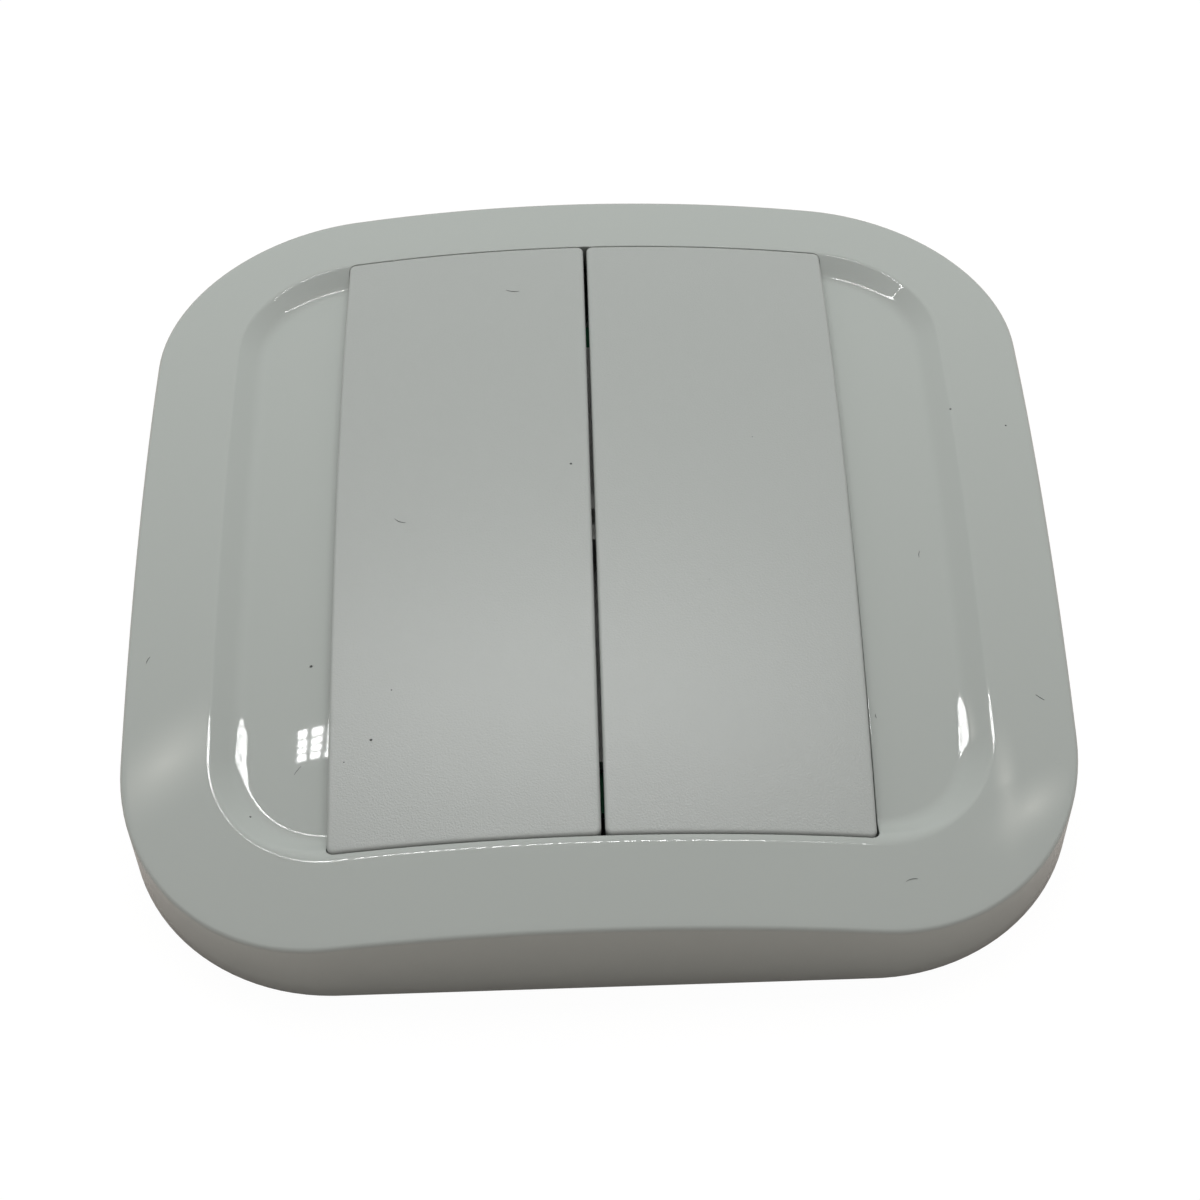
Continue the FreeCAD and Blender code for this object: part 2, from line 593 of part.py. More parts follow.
def keypad_mat():
    """Sheet with four hollow domes."""
    sheet_block = prism("mat_sheet", "dims.mat_width / 2", "dims.frame_length / 2", "dims.board_corner / 2",
                        BOARD_TOP, MAT_TOP)
    domes, hollows = [], []
    for number, (across, up) in enumerate(PAIRS, 1):
        place = f"{across} * {KEY_X}", f"{up} * dims.key_y"
        domes.append(frustum(f"dome_{number}", "dims.key_foot", "dims.key_top", MAT_TOP, KEY_TOP, *place))
        hollows.append(frustum(f"dome_hollow_{number}", "dims.key_foot - dims.key_skin",
                               "dims.key_top - dims.key_skin", BOARD_TOP,
                               f"{KEY_TOP} - dims.key_roof", *place))
    return cut("mat_moulding", fuse("mat_solid", [sheet_block] + domes), fuse("mat_hollows", hollows))


def contact_pills():
    """One conductive pill under the roof of each dome."""
    roof = f"{KEY_TOP} - dims.key_roof"
    return group("pill_group", [
        rod(f"pill_{number}", "dims.pill_radius", f"{roof} - dims.pill_height", roof,
            f"{across} * {KEY_X}", f"{up} * dims.key_y")
        for number, (across, up) in enumerate(PAIRS, 1)
    ])


# Circuit board and what is soldered to it

def circuit_board():
    body = new_body("circuit_board")
    outline = plane_sketch(body, "board_sketch", offset=BOARD_BOTTOM)
    rounded_outline(outline, "dims.board_width / 2", "dims.board_width / 2", "dims.board_corner")
    for across, up in PAIRS:
        circle_outline(outline, "dims.screw_radius + dims.screw_play",
                       f"{across} * dims.screw_x", f"{up} * dims.screw_y")
    pad(body, "board_sheet", outline, "dims.board_thickness")
    return body


def contact_pads():
    """Two half discs under each pill."""
    halves = []
    for number, (across, up) in enumerate(PAIRS, 1):
        left, low = f"{across} * {KEY_X}", f"{up} * dims.key_y"
        disc = rod(f"pad_disc_{number}", "dims.pad_radius", BOARD_TOP,
                   f"{BOARD_TOP} + dims.pad_thickness", left, low)
        slit = block(f"pad_slit_{number}",
                     (f"{left} - dims.pad_slit / 2", f"{low} - dims.pad_radius - 1", f"{BOARD_TOP} - 1"),
                     (f"{left} + dims.pad_slit / 2", f"{low} + dims.pad_radius + 1", f"{BOARD_TOP} + 1"))
        halves.append(cut(f"pad_halves_{number}", disc, slit))
    return group("pad_group", halves)


def under_board(name, width, length, height, middle_x, middle_y, top=BOARD_BOTTOM):
    """A block that hangs under a board, in sizes given as expressions."""
    return block(name,
                 (f"{middle_x} - {width} / 2", f"{middle_y} - {length} / 2", f"{top} - {height}"),
                 (f"{middle_x} + {width} / 2", f"{middle_y} + {length} / 2", top))


def radio_shield():
    """A folded can, open towards its board."""
    under = f"({BOARD_BOTTOM} - dims.module_thickness)"
    place = "0", "dims.module_y - dims.antenna_length / 2", under
    can = under_board("shield_can", "dims.shield_width", "dims.shield_length", "dims.shield_height", *place)
    inside = under_board("shield_inside", "(dims.shield_width - dims.shield_wall * 2)",
                         "(dims.shield_length - dims.shield_wall * 2)",
                         "(dims.shield_height - dims.shield_wall)", *place)
    return cut("shield_shell", can, inside)


def chip_capacitors():
    """Five chip capacitors in a row beside the radio module."""
    return group("capacitor_group", [
        under_board(f"capacitor_{number + 1}", "dims.capacitor_width", "dims.capacitor_length",
                    "dims.capacitor_height", f"dims.capacitor_x - {number} * dims.capacitor_pitch",
                    "dims.capacitor_y")
        for number in range(5)
    ])


# Coin cell and its contacts

def coin_cell():
    """Can with a crimped edge and a smaller cap towards the board."""
    body = new_body("coin_cell")
    sketch = plane_sketch(body, "cell_sketch", "XZ_Plane")
    top = "dims.cell_back + dims.cell_height"
    closed_profile(sketch, [
        ("0", "dims.cell_back"), ("dims.cell_radius - 0.4", "dims.cell_back"),
        ("dims.cell_radius", "dims.cell_back + 0.4"), ("dims.cell_radius", f"{top} - 0.5"),
        ("dims.cell_radius - 0.5", f"{top} - 0.2"), ("dims.cell_radius - 1.1", f"{top} - 0.25"),
        ("dims.cell_radius - 1.3", top), ("0", top),
    ])
    revolve(body, "cell_turned", sketch)
    body.setExpression("Placement.Base.y", "dims.cell_y")
    return body


def strip(label, corners, width, middle_y="0"):
    """A folded strip: a side view in the YZ plane, as wide as given."""
    body = new_body(label)
    sketch = plane_sketch(body, f"{label}_sketch", "YZ_Plane")
    closed_profile(sketch, corners)
    pad(body, f"{label}_strip", sketch, width, midplane=True)
    body.setExpression("Placement.Base.y", middle_y)
    return body


def negative_contact():
    """A bowed leaf under the board that rests on the cell's cap."""
    t, low = "dims.strip_thickness", "(dims.cell_back + dims.cell_height)"
    end, bend, foot = "dims.leaf_end", "dims.leaf_bend", "dims.leaf_foot"
    under = f"{BOARD_BOTTOM} - {t}"
    return strip("negative_contact", [
        (f"-{end}", BOARD_BOTTOM), (f"-{end}", under), (f"-{bend}", under), (f"-{foot}", low),
        (foot, low), (bend, under), (end, under), (end, BOARD_BOTTOM),
        (f"{bend} - {t}", BOARD_BOTTOM), (f"{foot} - {t}", f"{low} + {t}"),
        (f"{t} - {foot}", f"{low} + {t}"), (f"{t} - {bend}", BOARD_BOTTOM),
    ], "dims.strip_width", "dims.cell_y")


def positive_contact():
    """A spring leg beside the cell, bent so that its knee presses on the can."""
    t, knee = "dims.strip_thickness", "-dims.cell_radius"
    middle = "(dims.cell_back + dims.cell_height / 2)"
    end, lean, foot = f"{knee} - dims.leg_end", f"{knee} - dims.leg_lean", f"{FLOOR_TOP} + {t}"
    return strip("positive_contact", [
        (end, BOARD_BOTTOM), (end, f"{BOARD_BOTTOM} - {t}"), (f"{lean} - {t}", f"{BOARD_BOTTOM} - {t}"),
        (f"{knee} - {t}", middle), (f"{lean} - {t}", foot), (lean, foot), (knee, middle),
        (lean, BOARD_BOTTOM),
    ], "dims.strip_width", "dims.cell_y")


# Tray and wall bracket

def rear_housing():
    """Tray with a side wall, a cell well, screw bosses, hook slots and snap windows."""
    body = new_body("rear_housing")
    base = plane_sketch(body, "tray_sketch", offset="dims.floor_back")
    corner = "dims.cover_corner - dims.skirt_wall - dims.tray_gap"
    rounded_outline(base, TRAY_OUTSIDE, TRAY_OUTSIDE, corner)
    pad(body, "tray_block", base, "dims.tray_rim - dims.floor_back")
    hollow = plane_sketch(body, "tray_hollow_sketch", offset=FLOOR_TOP)
    rounded_outline(hollow, TRAY_INSIDE, TRAY_INSIDE, f"{corner} - dims.tray_wall")
    pocket(body, "tray_hollow", hollow, "dims.cover_height", upward=True)

    well = plane_sketch(body, "well_sketch", offset=FLOOR_TOP)
    circle_outline(well, "dims.cell_radius + dims.cell_play + dims.well_wall", "0", "dims.cell_y")
    pad(body, "well_ring", well, f"dims.cell_back + dims.cell_height - {FLOOR_TOP}")
    opening = plane_sketch(body, "well_opening_sketch", offset="dims.floor_back")
    circle_outline(opening, "dims.cell_radius + dims.cell_play", "0", "dims.cell_y")
    pocket(body, "well_opening", opening, "dims.cover_height", upward=True)
    gap = plane_sketch(body, "well_gap_sketch", offset=FLOOR_TOP)
    near = "dims.cell_y - dims.cell_radius + 2"
    far = "dims.cell_y - dims.cell_radius - dims.cell_play - dims.well_wall - 1"
    side = "(dims.strip_width / 2 + dims.strip_thickness * 2)"
    closed_profile(gap, [(f"-{side}", far), (side, far), (side, near), (f"-{side}", near)])
    pocket(body, "well_gap", gap, "dims.cover_height", upward=True)

    bosses = plane_sketch(body, "bosses_sketch", offset=FLOOR_TOP)
    for across, up in PAIRS:
        circle_outline(bosses, "dims.boss_radius", f"{across} * dims.screw_x", f"{up} * dims.screw_y")
        circle_outline(bosses, "dims.boss_radius / 2", f"{across} * (dims.board_width / 2 - 2)",
                       f"{up} * (dims.board_width / 2 - 2)")
    pad(body, "bosses_and_posts", bosses, f"{BOARD_BOTTOM} - {FLOOR_TOP}")
    pilots = plane_sketch(body, "pilots_sketch", offset=SCREW_TIP)
    for across, up in PAIRS:
        circle_outline(pilots, "dims.screw_radius + 0.02", f"{across} * dims.screw_x", f"{up} * dims.screw_y")
    pocket(body, "pilot_holes", pilots, "dims.cover_height", upward=True)

    slots = plane_sketch(body, "hook_slots_sketch", offset="dims.floor_back")
    for across, up in PAIRS:
        left = f"{across} * dims.hook_x - dims.hook_width / 2 - dims.hook_play"
        right = f"{across} * dims.hook_x + dims.hook_width / 2 + dims.hook_play"
        high = f"{up} * dims.hook_y + dims.hook_post / 2 + dims.hook_play"
        low = f"{up} * dims.hook_y - dims.hook_post / 2 - dims.hook_travel - dims.hook_play"
        closed_profile(slots, [(left, low), (right, low), (right, high), (left, high)])
    pocket(body, "hook_slots", slots, "dims.floor_thickness", upward=True)

    half = "(dims.snap_width / 2)"
    for role, name in (("YZ_Plane", "side"), ("XZ_Plane", "end")):
        sketch = plane_sketch(body, f"{name}_windows_sketch", role)
        low, high = f"{SNAP_BOTTOM} - dims.snap_play", f"{SNAP_BOTTOM} + dims.snap_height + dims.snap_play"
        closed_profile(sketch, [(f"-{half}", low), (half, low), (half, high), (f"-{half}", high)])
        pocket(body, f"{name}_windows", sketch, "dims.cover_width", midplane=True)
    return body


def wall_bracket():
    """Plate with four screw slots and four hooks over which the tray hangs."""
    body = new_body("wall_bracket")
    plate = plane_sketch(body, "bracket_sketch")
    rounded_outline(plate, "dims.bracket_width / 2", "dims.bracket_width / 2", "dims.bracket_corner")
    pad(body, "bracket_plate", plate, "dims.bracket_thickness")

    slots = plane_sketch(body, "screw_slots_sketch")
    for across, up in ((1, 0), (0, 1), (-1, 0), (0, -1)):
        slot_outline(slots, across, up)
    pocket(body, "screw_slots", slots, "dims.bracket_thickness", upward=True)

    for number, (across, up) in enumerate(PAIRS, 1):
        middle = f"{up} * dims.hook_y"
        back, front = f"{middle} - dims.hook_post / 2", f"{middle} + dims.hook_post / 2"
        under, over = f"{FLOOR_TOP} + dims.hook_play", f"{FLOOR_TOP} + dims.hook_play + dims.hook_thickness"
        sketch = plane_sketch(body, f"hook_{number}_sketch", "YZ_Plane", f"{across} * dims.hook_x")
        closed_profile(sketch, [
            (back, "dims.bracket_thickness / 2"), (front, "dims.bracket_thickness / 2"), (front, under),
            (f"{front} + dims.hook_reach", under), (f"{front} + dims.hook_reach", f"{over} - 0.4"),
            (f"{front} + dims.hook_reach - 0.4", over), (back, over),
        ])
        pad(body, f"hook_{number}", sketch, "dims.hook_width", midplane=True)

    openings = plane_sketch(body, "hook_openings_sketch")
    for across, up in PAIRS:
        left = f"{across} * dims.hook_x - dims.hook_width / 2"
        low = f"{up} * dims.hook_y + dims.hook_post / 2"
        closed_profile(openings, [(left, low), (f"{left} + dims.hook_width", low),
                                  (f"{left} + dims.hook_width", f"{low} + dims.hook_reach + 0.3"),
                                  (left, f"{low} + dims.hook_reach + 0.3")])
    pocket(body, "hook_openings", openings, "dims.bracket_thickness", upward=True)
    return body


def slot_outline(sketch, across, up):
    """A slot with round ends at half the screw pitch, running away from the middle."""
    radius = value("dims.slot_half_width")
    run = value("dims.slot_length / 2 - dims.slot_half_width")
    place = value("dims.screw_pitch / 2")
    outward = Vector(across, up, 0)
    aside = Vector(-up, across, 0) * radius
    near, far = outward * (place - run), outward * (place + run)
    turn = math.atan2(up, across)
    first = sketch.GeometryCount
    sketch.addGeometry(Part.LineSegment(near - aside, far - aside))
    circle = Part.Circle(far, Vector(0, 0, 1), radius)
    sketch.addGeometry(Part.ArcOfCircle(circle, turn - math.pi / 2, turn + math.pi / 2))
    sketch.addGeometry(Part.LineSegment(far + aside, near + aside))
    circle = Part.Circle(near, Vector(0, 0, 1), radius)
    sketch.addGeometry(Part.ArcOfCircle(circle, turn + math.pi / 2, turn + 3 * math.pi / 2))
    for side in range(4):
        following = first + (side + 1) % 4
        sketch.addConstraint(Sketcher.Constraint("Tangent", first + side, 2, following, 1))
    datum(sketch, "Radius", (first + 1,), "dims.slot_half_width")
    reach = "dims.slot_length / 2 - dims.slot_half_width"
    for arc, sign in ((first + 1, "+"), (first + 3, "-")):
        along = f"dims.screw_pitch / 2 {sign} ({reach})"
        datum(sketch, "DistanceX", (arc, 3), f"{across} * ({along})")
        datum(sketch, "DistanceY", (arc, 3), f"{up} * ({along})")


# Screws

def assembly_screws():
    """Four screws with flat heads and crossed recesses."""
    screws = []
    for number, (across, up) in enumerate(PAIRS, 1):
        place = f"{across} * dims.screw_x", f"{up} * dims.screw_y"
        head_top = f"({FRAME_TOP} + dims.screw_head_height)"
        head = frustum(f"screw_head_{number}", "dims.screw_head_radius", "dims.screw_head_radius - 0.4",
                       FRAME_TOP, head_top, *place)
        shank = rod(f"screw_shank_{number}", "dims.screw_radius", f"{SCREW_TIP} + 0.8", FRAME_TOP, *place)
        tip = frustum(f"screw_tip_{number}", "dims.screw_radius * 0.4", "dims.screw_radius",
                      SCREW_TIP, f"{SCREW_TIP} + 0.8", *place)
        bars = []
        for name, wide, long in (("across", 1.0, 0.25), ("along", 0.25, 1.0)):
            bars.append(block(f"screw_{name}_{number}",
                              (f"{place[0]} - {wide}", f"{place[1]} - {long}", f"{head_top} - 0.6"),
                              (f"{place[0]} + {wide}", f"{place[1]} + {long}", f"{head_top} + 1")))
        screws.append(cut(f"screw_{number}", fuse(f"screw_blank_{number}", [head, shank, tip]),
                          fuse(f"screw_cross_{number}", bars)))
    return group("screw_group", screws)


# The parts, one file each

RIGHT_ROCKER = rocker()
RIGHT_ROCKER.Label = "right_rocker"
LEFT_ROCKER = doc.addObject("Part::Mirroring", "rocker_mirrored")
LEFT_ROCKER.Source = RIGHT_ROCKER
LEFT_ROCKER.Base = Vector(0, 0, 0)
LEFT_ROCKER.Normal = Vector(1, 0, 0)

PARTS = {
    "front_cover": front_cover(),
    "left_rocker": LEFT_ROCKER,
    "right_rocker": RIGHT_ROCKER,
    "rocker_frame": rocker_frame(),
    "keypad_mat": keypad_mat(),
    "contact_pills": contact_pills(),
    "circuit_board": circuit_board(),
    "contact_pads": contact_pads(),
    "radio_module_board": under_board("module_sheet", "dims.module_width", "dims.module_length",
                                      "dims.module_thickness", "0", "dims.module_y"),
    "radio_shield": radio_shield(),
    "chip_antenna": under_board("antenna_block", "dims.antenna_width", "dims.antenna_length",
                                "dims.antenna_height", "0", "dims.antenna_y",
                                f"({BOARD_BOTTOM} - dims.module_thickness)"),
    "control_chip": under_board("chip_block", "dims.chip_width", "dims.chip_width", "dims.chip_height",
                                "dims.chip_x", "dims.chip_y"),
    "crystal": under_board("crystal_block", "dims.crystal_width", "dims.crystal_length",
                           "dims.crystal_height", "dims.chip_x", "dims.crystal_y"),
    "chip_capacitors": chip_capacitors(),
    "coin_cell": coin_cell(),
    "positive_contact": positive_contact(),
    "negative_contact": negative_contact(),
    "assembly_screws": assembly_screws(),
    "rear_housing": rear_housing(),
    "wall_bracket": wall_bracket(),
}

for label, thing in PARTS.items():
    thing.Label = label
doc.recompute()

faults = [thing.Name for thing in doc.Objects if {"Invalid", "Error"} & set(thing.State)]
faults += [label for label, thing in PARTS.items() if thing.Shape.isNull() or not thing.Shape.isValid()]
if faults:
    raise RuntimeError(f"failed objects: {faults}")
for label, thing in PARTS.items():
    thing.Shape.exportStep(f"parts/{label}.step")
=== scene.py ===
import math

import bmesh
import bpy
from bpy.props import FloatProperty, FloatVectorProperty, IntProperty, PointerProperty
from mathutils import Matrix, Vector


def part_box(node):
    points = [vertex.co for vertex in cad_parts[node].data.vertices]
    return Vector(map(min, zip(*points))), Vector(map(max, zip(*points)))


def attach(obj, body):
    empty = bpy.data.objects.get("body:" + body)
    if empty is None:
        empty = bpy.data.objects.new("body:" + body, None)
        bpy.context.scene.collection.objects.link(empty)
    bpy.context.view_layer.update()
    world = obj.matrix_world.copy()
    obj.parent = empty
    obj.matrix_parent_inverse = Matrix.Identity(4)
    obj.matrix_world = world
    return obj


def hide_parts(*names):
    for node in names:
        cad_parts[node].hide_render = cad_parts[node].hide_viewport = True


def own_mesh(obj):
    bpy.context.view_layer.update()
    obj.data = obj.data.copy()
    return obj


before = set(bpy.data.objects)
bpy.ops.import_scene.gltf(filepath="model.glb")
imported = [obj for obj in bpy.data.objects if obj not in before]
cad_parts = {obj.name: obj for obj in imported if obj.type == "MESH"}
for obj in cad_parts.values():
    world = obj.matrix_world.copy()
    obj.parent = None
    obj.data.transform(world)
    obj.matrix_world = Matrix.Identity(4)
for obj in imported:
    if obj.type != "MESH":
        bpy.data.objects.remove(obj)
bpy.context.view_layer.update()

bl_info = {
    "name": "Two-rocker wall switch",
    "version": (1, 0, 0),
    "blender": (4, 5, 0),
    "location": "3D View > Sidebar > Wall switch",
    "description": "Builds the visible pieces of a wireless wall switch round its packed parts",
    "category": "Add Mesh",
}

MM = 0.001
COVER_LOW, COVER_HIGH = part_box("front_cover")
ROCKER_LOW, ROCKER_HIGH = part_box("right_rocker")
SCREW_LOW, SCREW_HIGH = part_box("assembly_screws")
CAPACITOR_LOW, CAPACITOR_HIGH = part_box("chip_capacitors")
KEY_X = (ROCKER_LOW.x + ROCKER_HIGH.x) / 2
DOME_TOP = 15.5 * MM
KEYPAD_DOME_REACH = 5 * MM


def screen(*levels):
    """Linear colour of a colour given as it looks on a screen, 0 to 255."""
    shares = [level / 255 for level in levels]
    return tuple(share / 12.92 if share <= 0.04045 else ((share + 0.055) / 1.055) ** 2.4
                 for share in shares)


def length(name, description, millimetres):
    return FloatProperty(name=name, description=description, default=millimetres * MM,
                         subtype="DISTANCE", unit="LENGTH", precision=5)


def colour(name, description, *levels):
    return FloatVectorProperty(name=name, description=description, default=screen(*levels),
                               subtype="COLOR", size=3, min=0.0, max=1.0)


def factor(name, description, share, least=0.0):
    return FloatProperty(name=name, description=description, default=share, min=least, max=1.0,
                         subtype="FACTOR")


def strength(name, description, default):
    return FloatProperty(name=name, description=description, default=default, min=0.0)


# Settings

class CoverSettings(bpy.types.PropertyGroup):
    dome_radius: length("Dome radius", "Radius of the domed front", 145.657)
    corner_radius: length("Corner radius", "Corner of the square front", 18.0)
    rim_round: length("Rim rounding", "Rounding of the front's outer edge", 0.5)
    recess_half: length("Recess", "Half width of the recess floor", 30.25)
    recess_slope: length("Slope width", "Width of the recess's sloping side", 2.25)
    recess_depth: length("Recess depth", "Recess floor below the dome", 1.6)
    recess_right: length("Recess to the right", "Middle of the recess to the right of the front's", 0.15)
    recess_down: length("Recess downwards", "Middle of the recess below the front's", 0.25)
    foot_round: length("Foot rounding", "Width of the hollow curve at the foot of the slope", 1.35)
    brow_round: length("Brow rounding", "Width of the curve at the top of the slope", 0.36)
    near_brow: length("Near brow rounding", "Width of that curve beside the window's near end", 1.9)
    near_fade: FloatProperty(name="Near fade", description="How fast the near brow fades round the corners",
                             default=8.0, min=1.0)
    near_steepening: factor("Near steepening", "Share of the near brow that the slope gives up", 0.38)
    side_gap: length("Side gap", "Gap between a rocker's long side and the window", 0.08)
    end_gap: length("End gap", "Gap between a rocker's end and the window", 0.04)
    lip_round: length("Lip rounding", "Rounding of the window's upper edge", 0.07)
    floor_wall: length("Floor wall", "Wall under the recess floor", 1.3)
    skirt_wall: length("Skirt wall", "Wall of the skirt", 1.6)


class RockerSettings(bpy.types.PropertyGroup):
    corner_radius: length("Corner radius", "Corner of a rocker seen from the front", 0.6)
    edge_round: length("Edge rounding", "Rounding of a rocker's upper edge", 0.3)
    end_inset: length("End inset", "Rocker's ends behind the box of the packed part", 0.15)
    draft: length("Draft", "Lean of the side walls inwards over their height", 0.12)
    skew: length("Skew", "Lean of the right rocker's outer side towards its near end", 0.16)
    face: length("Face", "Thickness of a rocker's face", 1.5)
    depth: length("Depth", "Height of the side walls, face included", 2.4)
    wall: length("Wall", "Thickness of the side walls", 1.2)
    rib: length("Rib", "Thickness of the ribs under the face", 1.0)
    pivot_height: length("Pivot height", "Rocker axis above the wall", 10.8)
    pin_radius: length("Pin radius", "Pivot pin", 0.9)
    plunger_radius: length("Plunger radius", "Plunger over a dome", 1.9)
    plunger_place: length("Plunger place", "Plungers above and below the pivots", 17.5)
    plunger_play: length("Plunger play", "Gap between a plunger and its dome", 0.08)


class ScrewSettings(bpy.types.PropertyGroup):
    shank_radius: length("Shank radius", "Screw shank", 0.82)
    head_radius: length("Head radius", "Screw head", 1.8)
    head_height: length("Head height", "Screw head over its seat", 1.1)
    thread_depth: length("Thread depth", "Thread out of the shank", 0.18)
    thread_pitch: length("Thread pitch", "Rise of the thread in one turn", 0.8)


class KeypadSettings(bpy.types.PropertyGroup):
    dome_rise: length("Dome rise", "Silicone dome above its sheet", 1.2)
    dome_keep: factor("Pressed dome", "Share of its height that a pressed dome keeps", 0.17, 0.01)
    pill_keep: factor("Pressed pill", "Share of its height over the board that a pill keeps", 0.4, 0.01)


class FinishSettings(bpy.types.PropertyGroup):
    cover: colour("Cover", "Glossy white plastic of the cover", 168, 172, 168)
    rocker: colour("Rockers", "Fine-grained white plastic of the rockers", 164, 167, 164)
    gloss: factor("Cover roughness", "Roughness of the glossy cover", 0.03)
    matt: factor("Rocker roughness", "Roughness of the grained rockers", 0.31)
    grain: length("Grain size", "Size of the rockers' moulded grain", 0.16)
    relief: length("Grain relief", "Height of the rockers' moulded grain", 0.026)


class DustSettings(bpy.types.PropertyGroup):
    density: strength("Dust density", "Specks of dust for each square metre", 9000.0)
    speck: length("Speck radius", "Largest radius of a speck of dust", 0.045)
    seed: IntProperty(name="Seed", description="Seed of the dust's places", default=7)
    fibre: length("Fibre radius", "Radius of a fibre", 0.025)


class StageSettings(bpy.types.PropertyGroup):
    floor: colour("Floor", "Pale floor under the switch", 212, 204, 198)
    front_sky: strength("Room light in front", "Strength of the room before the switch", 0.27)
    rear_sky: strength("Room light behind", "Strength of the room behind the switch", 0.6)
    key: FloatProperty(name="Overhead light", description="Power of the soft overhead light", default=31.0,
                       min=0.0, subtype="POWER", unit="POWER")
    panels: strength("Ceiling panels", "Strength of the ceiling panels in reflections", 42.0)
    glow: strength("Side glow", "Strength of the soft lights at both sides in reflections", 3.6)
    focal: FloatProperty(name="Focal length", description="Focal length in millimetres on a 36 mm sensor",
                         default=77.645, min=1.0)


# Shapes

def dome_level(x, y, below=0.0):
    """Height of the dome, or of a ball a little smaller, above a point of the wall."""
    radius = bpy.context.scene.switch_cover.dome_radius
    return DOME_TOP - radius + math.sqrt((radius - below) ** 2 - x * x - y * y)


def ramp(distance, width):
    """Zero, then a straight line of slope one, with a curve of a given width between them."""
    if distance <= -width / 2:
        return 0.0
    if distance >= width / 2:
        return distance
    return (distance + width / 2) ** 2 / (2 * width)


def front_level(x, y):
    """Height of the cover's front with its recess above a point of the wall."""
    cover = bpy.context.scene.switch_cover
    centre = COVER_HIGH.x - cover.corner_radius
    across, along = abs(x - cover.recess_right) - centre, abs(y + cover.recess_down) - centre
    reach = centre + (math.hypot(across, along) if min(across, along) > 0 else max(across, along))
    near = (along / math.hypot(max(across, 0.0), along)) ** cover.near_fade if y < 0 < along else 0.0
    widening = near * (cover.near_brow - cover.brow_round)
    slope = cover.recess_slope - cover.near_steepening * widening
    steep = cover.recess_depth / slope
    rise = (ramp(reach - cover.recess_half, cover.foot_round)
            - ramp(reach - cover.recess_half - slope, cover.brow_round + widening))
    return dome_level(x, y, cover.recess_depth - steep * rise)


def ceiling_level(x, y):
    """Height of the cover's inside."""
    cover = bpy.context.scene.switch_cover
    return dome_level(x, y, cover.recess_depth + cover.floor_wall)


def outward(x, y, half_x, half_y, corner):
    """Unit normal in plan of a rounded rectangle at a point of it."""
    across, along = abs(x) - half_x + corner, abs(y) - half_y + corner
    if min(across, along) > 1e-7:
        size = math.hypot(across, along)
        return math.copysign(across / size, x), math.copysign(along / size, y)
    if across - corner > along - corner:
        return math.copysign(1.0, x), 0.0
    return 0.0, math.copysign(1.0, y)


def face(mesh, *corners):
    """A face of the corners that differ, if three or more do."""
    kept = [v for i, v in enumerate(corners) if v is not corners[i - 1]]
    if len(kept) > 2:
        mesh.faces.new(kept)


def join(mesh, first, second):
    """Faces between two closed borders of equal count."""
    for i in range(len(first)):
        face(mesh, first[i - 1][0], first[i][0], second[i][0], second[i - 1][0])


def ring(mesh, border, offset, level):
    """A border moved outwards in plan and set at a level, joined to the one it came from."""
    moved = []
    for vertex, nx, ny in border:
        x, y = vertex.co.x + nx * offset, vertex.co.y + ny * offset
        moved.append((mesh.verts.new((x, y, level(x, y))), nx, ny))
    join(mesh, border, moved)
    return moved


def rounded_edge(mesh, border, reach, radius, level, steps=6):
    """Roll a sheet's border over into the wall that stands a reach outside it."""
    small, base, last = 0.02 * MM, border, border
    for step in range(steps + 1):
        rolled = []
        for vertex, nx, ny in base:
            x, y = vertex.co.x + nx * (reach - radius), vertex.co.y + ny * (reach - radius)
            fall = level(x - nx * small, y - ny * small) - level(x + nx * small, y + ny * small)
            start = math.atan(fall / (2 * small))
            turn = start + (math.pi / 2 - start) * step / steps
            out = radius * math.sin(turn)
            up = level(x, y) - radius / math.cos(start) + radius * math.cos(turn)
            rolled.append((mesh.verts.new((x + nx * out, y + ny * out, up)), nx, ny))
        join(mesh, last, rolled)
        last = rolled
    return last


# Rings of a sheet that follow the outline, by half width in millimetres, finer where the front bends
FLOOR_RINGS = (24, 25.4, 26.8, 28.2, 29.2, 29.65, 29.8, 29.95, 30.1, 30.25, 30.4, 30.55, 30.75, 31.0)
FRONT_RINGS = (32.48, 32.56, 32.64, 32.72, 32.8, 32.88, 32.96, 33.04, 33.14, 33.3, 33.6, 34.2, 35.0, 36.0,
               37.0, 38.0, 38.8, 39.3)
CEILING_RINGS = (33.2, 34.2, 35.4, 36.6, 37.6, 38.4)
ARC_STEPS = 8
SIDE_STEPS = 14
CORNER_STEPS = 26


